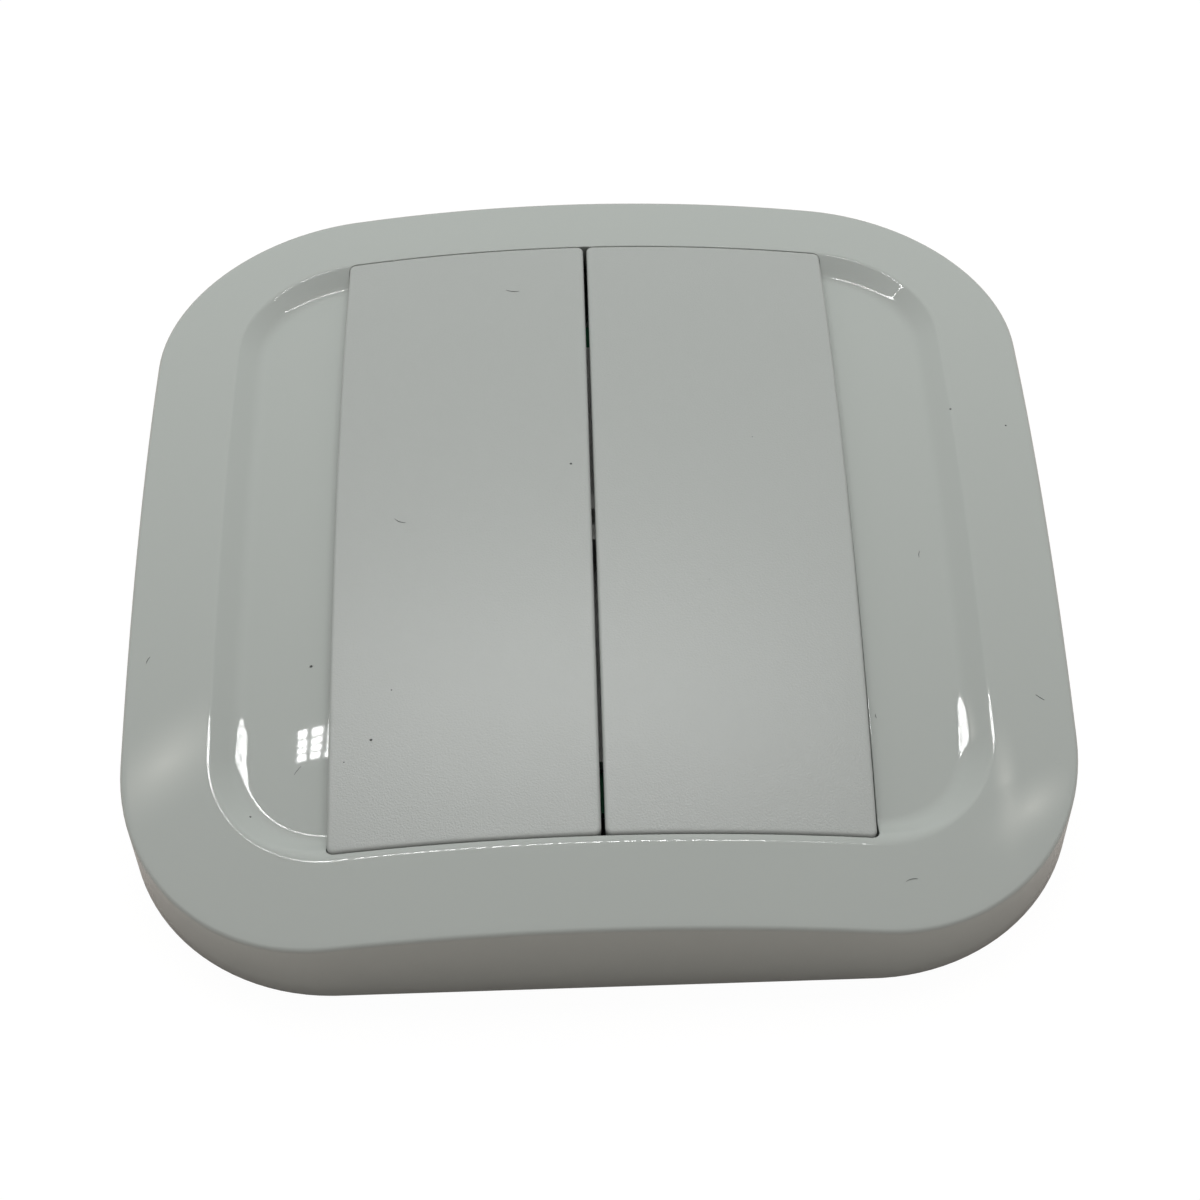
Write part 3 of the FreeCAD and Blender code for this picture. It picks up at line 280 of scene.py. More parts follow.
def cover_sheet(mesh, opening, upper, level):
    """One quarter of a square sheet round the window, laid four times; gives its inner and outer borders.

    Its rings run parallel to the outline, and the window's rounded corner lies on crossings of rings.
    """
    half_x, half_y, corner = opening
    centre = COVER_HIGH.x - bpy.context.scene.switch_cover.corner_radius
    arc = []
    for step in range(ARC_STEPS + 1):
        turn = math.radians(step * 90 / ARC_STEPS)
        arc.append((half_x - corner + corner * math.cos(turn), half_y - corner + corner * math.sin(turn)))
    rings = [half_x] + [r * MM for r in FLOOR_RINGS]
    first_arc = len(rings)
    for x, y in arc:
        rings.append(centre + math.hypot(x - centre, y - centre) if x > centre else y)
    last_arc = len(rings) - 1
    rings += [r * MM for r in upper]
    rows = [centre * j / SIDE_STEPS for j in range(SIDE_STEPS + 1)]
    columns = [x for x, _ in arc] + [arc[-1][0] * (1 - j / SIDE_STEPS) for j in range(1, SIDE_STEPS + 1)]
    made, inner, border = {}, set(), set()

    def place(sx, sy, x, y):
        key = round(sx * x, 8) + 0.0, round(sy * y, 8) + 0.0
        if key not in made:
            made[key] = mesh.verts.new((sx * x, sy * y, level(sx * x, sy * y)))
        return made[key]

    def tops(i):
        """Points of a ring over the window's end, from the corner inwards."""
        count = len(columns) if i >= last_arc else max(0, i - first_arc + 1)
        points = []
        for x in columns[:count]:
            past = x - centre
            y = centre + math.sqrt((rings[i] - centre) ** 2 - past * past) if past > 0 else rings[i]
            points.append((x, y))
        return points

    def corners(i):
        """Points of a ring round the corner."""
        size = rings[i] - centre
        reach = math.acos(min(1.0, (half_x - centre) / size))
        turns = [reach * k / CORNER_STEPS for k in range(CORNER_STEPS + 1)]
        return [(centre + size * math.cos(turn), centre + size * math.sin(turn)) for turn in turns]

    for sx, sy in ((1, 1), (-1, 1), (-1, -1), (1, -1)):
        def quad(*points):
            corners_made = [place(sx, sy, x, y) for x, y in points]
            face(mesh, *(corners_made if sx * sy > 0 else corners_made[::-1]))

        for i in range(len(rings) - 1):
            strips = [([(rings[n], y) for y in rows], corners(n), tops(n)) for n in (i, i + 1)]
            for near, far in zip(*strips):
                for k in range(len(far) - 1):
                    if k + 1 < len(near):
                        quad(near[k], far[k], far[k + 1], near[k + 1])
                    elif k < len(near):
                        quad(near[k], far[k], far[k + 1])
            if i <= first_arc:
                inner.add(place(sx, sy, *corners(i)[-1]))
        inner.update(place(sx, sy, rings[0], y) for y in rows)
        inner.update(place(sx, sy, *point) for point in arc)
        inner.update(place(sx, sy, *point) for point in tops(last_arc)[ARC_STEPS:])
        last = len(rings) - 1
        border.update(place(sx, sy, rings[last], y) for y in rows)
        border.update(place(sx, sy, *point) for point in corners(last) + tops(last))

    def sorted_border(vertices, *shape):
        found = sorted(vertices, key=lambda v: math.atan2(v.co.y, v.co.x))
        return [(v, *outward(v.co.x, v.co.y, *shape)) for v in found]

    inside = [(v, -nx, -ny) for v, nx, ny in sorted_border(inner, half_x, half_y, corner)]
    outer = rings[-1]
    return inside, sorted_border(border, outer, outer, outer - centre)


def rounded_sheet(mesh, low, high, columns, rows, level, arc=6):
    """A rectangular grid, and its border with each corner repeated for the arc that goes round it."""
    grid = []
    for j in range(rows + 1):
        y = low[1] + (high[1] - low[1]) * j / rows
        across = [low[0] + (high[0] - low[0]) * i / columns for i in range(columns + 1)]
        grid.append([mesh.verts.new((x, y, level(x, y))) for x in across])
    for j in range(rows):
        for i in range(columns):
            mesh.faces.new((grid[j][i], grid[j][i + 1], grid[j + 1][i + 1], grid[j + 1][i]))
    sides = [grid[0], [line[-1] for line in grid], grid[-1][::-1], [line[0] for line in grid][::-1]]
    border = []
    for side, vertices in enumerate(sides):
        turn = math.radians(90 * side - 90)
        border += [(v, math.cos(turn), math.sin(turn)) for v in vertices[1:-1]]
        for step in range(arc + 1):
            turned = turn + math.radians(90 * step / arc)
            border.append((vertices[-1], math.cos(turned), math.sin(turned)))
    return border


def solid(mesh, outline, shift):
    """A closed prism: an outline of points and the same outline moved by a vector."""
    start = [mesh.verts.new(point) for point in outline]
    end = [mesh.verts.new(Vector(point) + Vector(shift)) for point in outline]
    mesh.faces.new(start)
    mesh.faces.new(end[::-1])
    for i in range(len(start)):
        mesh.faces.new((start[i - 1], end[i - 1], end[i], start[i]))


def turned(mesh, profile, place, segments=28):
    """A closed turned body: pairs of radius and height round an upright axis through a place."""
    rings = []
    for radius, height in profile:
        rings.append([
            mesh.verts.new(place @ Vector((radius * math.cos(a), radius * math.sin(a), height)))
            for a in (2 * math.pi * s / segments for s in range(segments))
        ])
    for low, high in zip(rings, rings[1:]):
        for s in range(segments):
            mesh.faces.new((low[s - 1], low[s], high[s], high[s - 1]))
    mesh.faces.new(rings[0][::-1])
    mesh.faces.new(rings[-1])


def object_of(name, mesh, finish):
    """A linked object with a mesh and one finish."""
    data = bpy.data.meshes.new(name)
    mesh.to_mesh(data)
    mesh.free()
    data.materials.append(finish)
    made = bpy.data.objects.new(name, data)
    bpy.context.scene.collection.objects.link(made)
    return made


def settle(made, body, slot, stands_for=(), smooth=35):
    """Shade an object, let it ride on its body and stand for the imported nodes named."""
    made.data.shade_smooth()
    made.data.set_sharp_from_angle(angle=math.radians(smooth))
    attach(made, body)
    if stands_for:
        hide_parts(*stands_for)
    return made


def piece(name, mesh, finish, body, slot, stands_for=(), smooth=35):
    """A settled object with its faces pointing outwards."""
    bmesh.ops.recalc_face_normals(mesh, faces=mesh.faces)
    return settle(object_of(name, mesh, finish), body, slot, stands_for, smooth)


# Finishes

def finish_of(name, colours, roughness, patch, grain, relief, metallic=0.0, spread=0.06):
    """A mottled, finely grained surface.

    The two colours mix in patches of a size, the grain has its own size and relief, and the
    roughness wanders by a spread; sizes are in metres.
    """
    if name in bpy.data.materials:
        return bpy.data.materials[name]
    made = bpy.data.materials.new(name)
    made.use_nodes = True
    nodes, links = made.node_tree.nodes, made.node_tree.links
    shader = nodes["Principled BSDF"]
    shader.inputs["Metallic"].default_value = metallic
    place = nodes.new("ShaderNodeTexCoord").outputs["Object"]

    def noise(size, detail, rough=0.5):
        node = nodes.new("ShaderNodeTexNoise")
        node.inputs["Scale"].default_value = 1 / size
        node.inputs["Detail"].default_value = detail
        node.inputs["Roughness"].default_value = rough
        links.new(place, node.inputs["Vector"])
        return node.outputs["Fac"]

    patches = noise(patch, 3)
    mixed = nodes.new("ShaderNodeMix")
    mixed.data_type = "RGBA"
    links.new(patches, mixed.inputs["Factor"])
    for socket, value in zip(("A", "B"), colours):
        tint = [s for s in mixed.inputs if s.name == socket and s.type == "RGBA"][0]
        tint.default_value = (*value, 1.0)
    links.new([s for s in mixed.outputs if s.type == "RGBA"][0], shader.inputs["Base Color"])

    wander = nodes.new("ShaderNodeMapRange")
    wander.inputs["To Min"].default_value = max(0.02, roughness - spread / 2)
    wander.inputs["To Max"].default_value = roughness + spread / 2
    links.new(noise(patch / 4, 2), wander.inputs["Value"])
    links.new(wander.outputs["Result"], shader.inputs["Roughness"])

    bump = nodes.new("ShaderNodeBump")
    bump.inputs["Strength"].default_value = 1.0
    bump.inputs["Distance"].default_value = relief
    links.new(noise(grain, 2, 0.6), bump.inputs["Height"])
    links.new(bump.outputs["Normal"], shader.inputs["Normal"])
    return made


def shaded(value, factor):
    return tuple(v * factor for v in value)


def cover_finish():
    """Polished white plastic with a trace of flow from the mould."""
    look = bpy.context.scene.switch_finish
    return finish_of("cover_gloss_white", (tuple(look.cover), shaded(look.cover, 0.985)), look.gloss,
                     22 * MM, 5 * MM, 0.0012 * MM, spread=0.02)


def rocker_finish():
    """White plastic with a fine eroded grain."""
    look = bpy.context.scene.switch_finish
    return finish_of("rocker_fine_grain_white", (tuple(look.rocker), shaded(look.rocker, 0.985)), look.matt,
                     16 * MM, look.grain, look.relief, spread=0.05)


# The pieces

class SWITCH_OT_cover(bpy.types.Operator):
    """Build the domed cover with its recess, window, skirt and snap beads"""
    bl_idname = "switch.cover"
    bl_label = "Front cover"

    def execute(self, context):
        cover, rocker = context.scene.switch_cover, context.scene.switch_rocker
        margin = 0.1 * MM
        window = (ROCKER_HIGH.x + cover.side_gap, ROCKER_HIGH.y - rocker.end_inset + cover.end_gap,
                  rocker.corner_radius + cover.side_gap)
        mesh = bmesh.new()
        lip, rim = cover_sheet(mesh, [size + margin for size in window], FRONT_RINGS, front_level)
        ceiling_edge, ceiling_border = cover_sheet(mesh, window, CEILING_RINGS, ceiling_level)
        wall = rounded_edge(mesh, lip, margin, cover.lip_round, front_level, 4)
        join(mesh, wall, ceiling_edge)
        edge = rounded_edge(mesh, rim, COVER_HIGH.x - FRONT_RINGS[-1] * MM, cover.rim_round, front_level, 8)
        join(mesh, self.skirt(mesh, edge, cover), ceiling_border)
        self.snap_beads(mesh, COVER_HIGH.x - cover.skirt_wall)
        piece("front_cover_moulding", mesh, cover_finish(), "switch_unit", "gloss_white", ["front_cover"])
        return {"FINISHED"}

    def skirt(self, mesh, wall, cover):
        """The skirt's outside in four equal steps, and its eased foot as far as its inside."""
        foot, ease = COVER_LOW.z, 0.2 * MM
        for steps_left in (4, 3, 2):
            lowered = []
            for vertex, nx, ny in wall:
                x, y, top = vertex.co
                lowered.append((mesh.verts.new((x, y, top - (top - foot - ease) / steps_left)), nx, ny))
            join(mesh, wall, lowered)
            wall = lowered
        for offset, rise in ((0.0, ease), (-0.3 * ease, 0.3 * ease), (-0.7 * ease, 0.0),
                             (ease - cover.skirt_wall, 0.0)):
            wall = ring(mesh, wall, offset, lambda x, y: foot + rise)
        return wall

    def snap_beads(self, mesh, inside):
        """A bead inside the middle of each side of the skirt."""
        root, reach, half_width = 0.8 * MM, 0.9 * MM, 4.4 * MM
        low, nose, top = 2.8 * MM, 3.4 * MM, 3.8 * MM
        section = [(inside + root, low), (inside - reach, nose), (inside - reach, top),
                   (inside + root, top)]
        for turn in range(4):
            facing = Matrix.Rotation(math.radians(90 * turn), 3, "Z")
            outline = [facing @ Vector((x, -half_width, z)) for x, z in section]
            solid(mesh, outline, facing @ Vector((0, 2 * half_width, 0)))


class SWITCH_OT_rockers(bpy.types.Operator):
    """Build the two rockers with their ribs, plungers, lugs and pins"""
    bl_idname = "switch.rockers"
    bl_label = "Rockers"

    def execute(self, context):
        rocker = context.scene.switch_rocker
        for name, body, side in (("left_rocker", "left_key", -1), ("right_rocker", "right_key", 1)):
            mesh = bmesh.new()
            self.shell(mesh, rocker)
            self.ribs(mesh, rocker)
            self.plungers(mesh, rocker)
            self.lugs(mesh, rocker)
            bmesh.ops.scale(mesh, vec=(side, 1, 1), verts=mesh.verts)
            if side > 0:
                self.lean(mesh, rocker.skew)
            piece(f"{name}_moulding", mesh, rocker_finish(), body, "matt_white", [name])
        return {"FINISHED"}

    def plan(self, rocker, inset):
        """Lowest and highest corner in plan of a rocker, moved in."""
        end = rocker.end_inset + inset
        return (ROCKER_LOW.x + inset, ROCKER_LOW.y + end), (ROCKER_HIGH.x - inset, ROCKER_HIGH.y - end)

    def shell(self, mesh, rocker):
        """The domed face with rounded edges and its side walls, open below."""
        corner, depth, columns, rows = rocker.corner_radius, rocker.depth, 16, 48
        flat, rolled = corner * 0.3, corner * 0.7
        border = rounded_sheet(mesh, *self.plan(rocker, corner), columns, rows, dome_level)
        border = ring(mesh, border, flat, dome_level)
        side = rounded_edge(mesh, border, rolled, rocker.edge_round, dome_level)
        side = ring(mesh, side, -rocker.draft, lambda x, y: dome_level(x, y, depth))
        inside = rounded_sheet(mesh, *self.plan(rocker, rocker.wall), columns, rows,
                               lambda x, y: dome_level(x, y, rocker.face))
        foot = ring(mesh, inside, 0.0, lambda x, y: dome_level(x, y, depth))
        join(mesh, side, foot)

    def lean(self, mesh, skew):
        """Draw the outer side in towards the near end, where its gap is widest."""
        zone, full_length = 1.8 * MM, ROCKER_HIGH.y - ROCKER_LOW.y
        for vertex in mesh.verts:
            share = min(1.0, max(0.0, (vertex.co.x - ROCKER_HIGH.x + zone) / zone))
            vertex.co.x -= skew * share * (ROCKER_HIGH.y - vertex.co.y) / full_length

    def ribs(self, mesh, rocker):
        """One rib along the rocker and three across it, sunk a little into the face."""
        sink, ends = 0.2 * MM, 1 * MM
        half = rocker.rib / 2
        cell = (ROCKER_HIGH.y - ROCKER_LOW.y - rocker.wall * 2 - rocker.rib * 3) / 4
        bars = [((KEY_X - half, ROCKER_LOW.y + ends), (KEY_X + half, ROCKER_HIGH.y - ends), 1, 40)]
        for number in range(3):
            start = ROCKER_LOW.y + rocker.wall + (number + 1) * cell + number * rocker.rib
            bars.append(((ROCKER_LOW.x + ends, start), (ROCKER_HIGH.x - ends, start + rocker.rib), 14, 1))
        for bar in bars:
            top, bottom = (
                rounded_sheet(mesh, *bar, lambda x, y: dome_level(x, y, below), 1)
                for below in (rocker.face - sink, rocker.depth)
            )
            join(mesh, top, bottom)

    def plungers(self, mesh, rocker):
        """A plunger with an eased tip over each dome."""
        radius, ease, sink = rocker.plunger_radius, 0.15 * MM, rocker.face * 0.6
        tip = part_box("keypad_mat")[1].z + rocker.plunger_play
        for side in (-1, 1):
            y = side * rocker.plunger_place
            root = dome_level(KEY_X, y, sink)
            profile = [(radius - ease, tip), (radius - ease * 0.3, tip + ease * 0.3), (radius, tip + ease),
                       (radius, root)]
            turned(mesh, profile, Matrix.Translation((KEY_X, y, 0)))

    def lugs(self, mesh, rocker):
        """Two lugs with round ends beside the bearing posts, each with a pivot pin into its post."""
        wall, play, radius, steps = 1.6 * MM, 0.3 * MM, 1.55 * MM, 16
        inner_post, outer_post = 2 * MM, 17.9 * MM
        pin, ease, rooted, bearing = rocker.pin_radius, 0.15 * MM, 0.2 * MM, 1.4 * MM
        level, sink = rocker.pivot_height, rocker.face * 0.5
        for middle, outwards in ((inner_post + play + wall / 2, -1), (outer_post - play - wall / 2, 1)):
            side = middle - wall / 2
            root = dome_level(middle, 0, sink)
            outline = [(side, radius, root), (side, -radius, root)]
            for step in range(steps + 1):
                turn = math.pi + math.pi * step / steps
                outline.append((side, radius * math.cos(turn), level + radius * math.sin(turn)))
            solid(mesh, outline, (wall, 0, 0))
            reach = wall / 2 + play + bearing - rooted
            along = (Matrix.Translation((middle + outwards * rooted, 0, level))
                     @ Matrix.Rotation(math.radians(90 * outwards), 4, "Y"))
            turned(mesh, [(pin, 0), (pin, reach - ease), (pin - ease, reach)], along)


# Geometry node trees

class Tree:
    """A geometry node tree with named size inputs, ended by Realize Instances and Set Material."""

    def __init__(self, name):
        self.tree = bpy.data.node_groups.new(name, "GeometryNodeTree")
        self.tree.interface.new_socket("Geometry", in_out="INPUT", socket_type="NodeSocketGeometry")
        self.tree.interface.new_socket("Geometry", in_out="OUTPUT", socket_type="NodeSocketGeometry")
        self.start = self.tree.nodes.new("NodeGroupInput")
        self.sizes = {}

    def size(self, name, value, kind="NodeSocketFloat"):
        """A named input of the tree with its value."""
        socket = self.tree.interface.new_socket(name, in_out="INPUT", socket_type=kind)
        self.sizes[socket.identifier] = value
        return self.start.outputs[name]

    def node(self, kind, properties=None, **inputs):
        """A node whose inputs are values, other nodes' outputs or lists of outputs.

        Inputs are named by their sockets, with an underscore for a blank, or by an underscore and a number.
        """
        made = self.tree.nodes.new(kind)
        for key, value in (properties or {}).items():
            setattr(made, key, value)
        for key, value in inputs.items():
            socket = made.inputs[int(key[1:])] if key[1:].isdigit() else made.inputs[key.replace("_", " ")]
            for source in value if isinstance(value, list) else [value]:
                if isinstance(source, bpy.types.NodeSocket):
                    self.tree.links.new(source, socket)
                else:
                    socket.default_value = source
        return made

    def add(self, kind, output=0, properties=None, **inputs):
        """An output of a new node."""
        return self.node(kind, properties, **inputs).outputs[output]

    def sum(self, *geometry):
        return self.add("GeometryNodeJoinGeometry", Geometry=list(geometry))

    def moved(self, geometry, place):
        return self.add("GeometryNodeTransform", Geometry=geometry, Translation=place)

    def vector(self, x=0.0, y=0.0, z=0.0):
        return self.add("ShaderNodeCombineXYZ", X=x, Y=y, Z=z)

    def math(self, operation, first, second):
        return self.add("ShaderNodeMath", properties={"operation": operation}, _0=first, _1=second)

    def spread(self, points, instance, **turns):
        """Instances of a shape on points."""
        return self.add("GeometryNodeInstanceOnPoints", Points=points, Instance=instance, **turns)

    def finish(self, geometry, finish):
        """Realize the instances and give them one finish."""
        real = self.add("GeometryNodeRealizeInstances", Geometry=geometry)
        return self.add("GeometryNodeSetMaterial", Geometry=real, Material=finish)

    def output(self, *finished):
        end = self.tree.nodes.new("NodeGroupOutput")
        self.tree.links.new(self.sum(*finished) if len(finished) > 1 else finished[0], end.inputs[0])

    def build(self, name, base=None):
        """The evaluated tree as a plain mesh object without its modifier."""
        holder = bpy.data.objects.new(name, base or bpy.data.meshes.new(f"{name}_base"))
        bpy.context.scene.collection.objects.link(holder)
        modifier = holder.modifiers.new("nodes", "NODES")
        modifier.node_group = self.tree
        for identifier, value in self.sizes.items():
            modifier[identifier] = value
        context = bpy.context.evaluated_depsgraph_get()
        data = bpy.data.meshes.new_from_object(holder.evaluated_get(context), depsgraph=context)
        holder.modifiers.remove(modifier)
        holder.data = data
        data.name = name
        return holder


class SWITCH_OT_screws(bpy.types.Operator):
    """Build the four threaded screws with crossed recesses"""
    bl_idname = "switch.screws"
    bl_label = "Assembly screws"

    def execute(self, context):
        screw = context.scene.switch_screw
        head_top, seat, tip = SCREW_HIGH.z, SCREW_HIGH.z - screw.head_height, SCREW_LOW.z
        tree = Tree("crossed_screw")
        shank = tree.size("Shank radius", screw.shank_radius)
        head = tree.size("Head radius", screw.head_radius)
        depth = tree.size("Thread depth", screw.thread_depth)
        pitch = tree.size("Thread pitch", screw.thread_pitch)
        long, tall = seat - tip, head_top - seat
        head_taper, point_taper, point_length = 0.78, 0.3, 0.8 * MM
        plain_shank, thread_start = 1.2 * MM, 0.5 * MM
        slot_long, slot_wide, slot_tall, slot_lift = 2.0 * MM, 0.5 * MM, 1.4 * MM, 0.1 * MM

        cap = tree.add("GeometryNodeMeshCone", Vertices=32, Side_Segments=3,
                       Radius_Top=tree.math("MULTIPLY", head, head_taper), Radius_Bottom=head, Depth=tall)
        cap = tree.moved(cap, (0, 0, seat))
        bars = []
        for size in ((slot_long, slot_wide, slot_tall), (slot_wide, slot_long, slot_tall)):
            bar = tree.add("GeometryNodeMeshCube", Size=size)
            bars.append(tree.moved(bar, (0, 0, head_top + slot_lift)))
        cap = tree.add("GeometryNodeMeshBoolean", properties={"operation": "DIFFERENCE"}, Mesh_1=cap,
                       Mesh_2=bars)

        rod_length = long - point_length
        rod = tree.add("GeometryNodeMeshCylinder", Vertices=24, Side_Segments=4, Radius=shank,
                       Depth=rod_length)
        rod = tree.moved(rod, (0, 0, seat - rod_length / 2))
        point = tree.add("GeometryNodeMeshCone", Vertices=24, Radius_Top=shank,
                         Radius_Bottom=tree.math("MULTIPLY", shank, point_taper), Depth=point_length)
        point = tree.moved(point, (0, 0, tip))
        turns = tree.math("DIVIDE", long - plain_shank, pitch)
        path = tree.add("GeometryNodeCurveSpiral", Resolution=20, Rotations=turns, Start_Radius=shank,
                        End_Radius=shank, Height=long - plain_shank)
        section = tree.add("GeometryNodeCurvePrimitiveCircle", Resolution=3, Radius=depth)
        thread = tree.add("GeometryNodeCurveToMesh", Curve=path, Profile_Curve=section, Fill_Caps=True)
        whole = tree.sum(cap, rod, point, tree.moved(thread, (0, 0, tip + thread_start)))

        places = tree.add("GeometryNodeMeshGrid", Size_X=2 * (SCREW_HIGH.x - screw.head_radius),
                          Size_Y=2 * (SCREW_HIGH.y - screw.head_radius), Vertices_X=2, Vertices_Y=2)
        zinc = finish_of("screw_zinc", (screen(176, 178, 182), screen(150, 152, 158)), 0.32, 0.8 * MM,
                         0.1 * MM, 0.004 * MM, metallic=1.0)
        tree.output(tree.finish(tree.spread(places, whole), zinc))
        settle(tree.build("threaded_screws"), "switch_unit", "screw_zinc", ["assembly_screws"])
        return {"FINISHED"}


class SWITCH_OT_capacitors(bpy.types.Operator):
    """Build the row of chip capacitors with their tinned ends"""
    bl_idname = "switch.capacitors"
    bl_label = "Chip capacitors"

    def execute(self, context):
        low, high = CAPACITOR_LOW, CAPACITOR_HIGH
        count, body_share, body_play = 5, 0.94, 0.1 * MM
        wide, long, tall = 0.8 * MM, high.y - low.y, high.z - low.z
        middle = (low + high) / 2
        pitch = (high.x - low.x - wide) / (count - 1)
        tin = finish_of("capacitor_tin", (screen(205, 206, 208), screen(178, 180, 184)), 0.35, 0.5 * MM,
                        0.08 * MM, 0.003 * MM, metallic=1.0)
        clay = finish_of("capacitor_ceramic", (screen(172, 140, 104), screen(150, 118, 84)), 0.55, 0.4 * MM,
                         0.06 * MM, 0.003 * MM)
        tree = Tree("capacitor_row")
        end = tree.size("End cap", 0.3 * MM)
        step = tree.size("Pitch", pitch)
        body = tree.math("SUBTRACT", long - body_play, end)
        core_size = tree.vector(wide * body_share, body, tall * body_share)
        core = tree.add("GeometryNodeMeshCube", Size=core_size)
        caps = []
        for side in (-1, 1):
            cap = tree.add("GeometryNodeMeshCube", Size=tree.vector(wide, end, tall))
            shift = tree.math("MULTIPLY", tree.math("SUBTRACT", long, end), 0.5 * side)
            caps.append(tree.moved(cap, tree.vector(0.0, shift, 0.0)))
        line = tree.add("GeometryNodeMeshLine", Count=count, Offset=tree.vector(step, 0.0, 0.0),
                        Start_Location=(low.x + wide / 2, middle.y, middle.z))
        tree.output(tree.finish(tree.spread(line, core), clay),
                    tree.finish(tree.spread(line, tree.sum(*caps)), tin))
        settle(tree.build("capacitor_row"), "switch_unit", "capacitor_tan", ["chip_capacitors"])
        return {"FINISHED"}


class SWITCH_OT_keypad(bpy.types.Operator):
    """Part the silicone mat into its sheet and four domes under the rockers, each with its pill"""
    bl_idname = "switch.keypad"
    bl_label = "Keypad mat"

    def execute(self, context):
        keypad = context.scene.switch_keypad
        mat_foot, dome_top = (corner.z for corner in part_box("keypad_mat"))
        cut_margin = 0.01 * MM
        level = dome_top - keypad.dome_rise + cut_margin
        silicone = finish_of("silicone_grey", (screen(188, 190, 190), screen(176, 178, 180)), 0.62, 4 * MM,
                             0.2 * MM, 0.006 * MM)
        carbon = finish_of("carbon_rubber", (screen(38, 38, 40), screen(28, 28, 30)), 0.7, 1 * MM, 0.1 * MM,
                           0.006 * MM)
        sheet = self.copy_of("keypad_mat")
        self.cut(sheet, level, clear_outer=True)
        for hand, side in (("left", -1), ("right", 1)):
            for end, up in (("lower", -1), ("upper", 1)):
                x, y = side * KEY_X, up * context.scene.switch_rocker.plunger_place
                self.close(sheet, x, y)
                dome = self.copy_of("keypad_mat")
                self.cut(dome, level, clear_inner=True)
                self.keep(dome, x, y)
                self.close(dome, x, y)
                made = piece(f"{hand}_{end}_dome", dome, silicone, "switch_unit", "silicone")
                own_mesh(made)
                pill = self.copy_of("contact_pills")
                self.keep(pill, x, y)
                made = piece(f"{hand}_{end}_pill", pill, carbon, "switch_unit", "conductive_rubber",
                             ["contact_pills"])
                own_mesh(made)
        piece("keypad_sheet", sheet, silicone, "switch_unit", "silicone", ["keypad_mat"])
        return {"FINISHED"}

    def copy_of(self, node):
        """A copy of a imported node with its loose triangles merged."""
        mesh = bmesh.new()
        mesh.from_mesh(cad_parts[node].data)
        bmesh.ops.remove_doubles(mesh, verts=mesh.verts, dist=0.001 * MM)
        return mesh

    def cut(self, mesh, level, **cleared):
        """Cut a mesh at a level and clear its upper (outer) or lower (inner) part."""
        bmesh.ops.bisect_plane(mesh, geom=[*mesh.verts, *mesh.edges, *mesh.faces], plane_co=(0, 0, level),
                               plane_no=(0, 0, 1), **cleared)

    def close_to(self, vertex, x, y):
        """Whether a vertex belongs to the dome at a place."""
        return max(abs(vertex.co.x - x), abs(vertex.co.y - y)) < KEYPAD_DOME_REACH

    def keep(self, mesh, x, y):
        """Delete what isn't close to a dome's place."""
        away = [vertex for vertex in mesh.verts if not self.close_to(vertex, x, y)]
        bmesh.ops.delete(mesh, geom=away, context="VERTS")

    def close(self, mesh, x, y):
        """Close the ring that the cut left at a dome's foot."""
        borders = [edge for edge in mesh.edges if edge.is_boundary and self.close_to(edge.verts[0], x, y)]
        bmesh.ops.bridge_loops(mesh, edges=borders)


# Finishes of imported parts: name, light and dark tone, roughness, and patch, grain and relief in
# millimetres. The tones of white parts are shares of one white.
WHITE_PARTS = {
    "rocker_frame": ("frame_white", 1.0, 0.96, 0.38, 9, 0.25, 0.006),
    "rear_housing": ("housing_white", 1.0, 0.95, 0.42, 14, 0.3, 0.008),
    "wall_bracket": ("bracket_white", 0.97, 0.92, 0.48, 16, 0.3, 0.010),
}
BOARD_PARTS = {
    "circuit_board": ("board_green", (22, 84, 52), (16, 66, 42), 0.36, 3, 0.35, 0.006),
    "radio_module_board": ("module_green", (18, 72, 60), (14, 58, 48), 0.36, 2, 0.3, 0.006),
    "chip_antenna": ("antenna_ceramic", (214, 214, 208), (198, 198, 192), 0.5, 1, 0.1, 0.004),
    "control_chip": ("chip_black", (34, 34, 36), (26, 26, 28), 0.55, 1.5, 0.12, 0.006),
}
METAL_PARTS = {
    "contact_pads": ("gold_plate", (222, 184, 106), (204, 164, 86), 0.28, 1.5, 0.1, 0.003),
    "radio_shield": ("tinned_steel", (196, 198, 200), (176, 178, 182), 0.3, 4, 0.15, 0.004),
    "crystal": ("crystal_can", (200, 201, 203), (184, 186, 190), 0.26, 1.5, 0.1, 0.003),
    "coin_cell": ("cell_steel", (186, 188, 190), (164, 166, 170), 0.24, 6, 0.12, 0.003),
    "positive_contact": ("spring_nickel", (206, 202, 192), (188, 184, 174), 0.3, 2, 0.1, 0.003),
    "negative_contact": ("spring_nickel", (206, 202, 192), (188, 184, 174), 0.3, 2, 0.1, 0.003),
}


class SWITCH_OT_inner_parts(bpy.types.Operator):
    """Give the carried-over parts their finishes"""
    bl_idname = "switch.inner_parts"
    bl_label = "Inner parts and mounting"

    def execute(self, context):
        white = screen(170, 173, 170)
        for node, (name, light, dark, *texture) in WHITE_PARTS.items():
            self.dress(node, name, (shaded(white, light), shaded(white, dark)), 0.0, texture)
        for table, metallic in ((BOARD_PARTS, 0.0), (METAL_PARTS, 1.0)):
            for node, (name, light, dark, *texture) in table.items():
                self.dress(node, name, (screen(*light), screen(*dark)), metallic, texture)
        return {"FINISHED"}

    def dress(self, node, name, colours, metallic, texture):
        """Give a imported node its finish."""
        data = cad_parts[node].data
        roughness, patch, grain, relief = texture
        look = finish_of(name, colours, roughness, patch * MM, grain * MM, relief * MM, metallic)
        for index in range(len(data.materials)):
            data.materials[index] = look
        if not data.materials:
            data.materials.append(look)


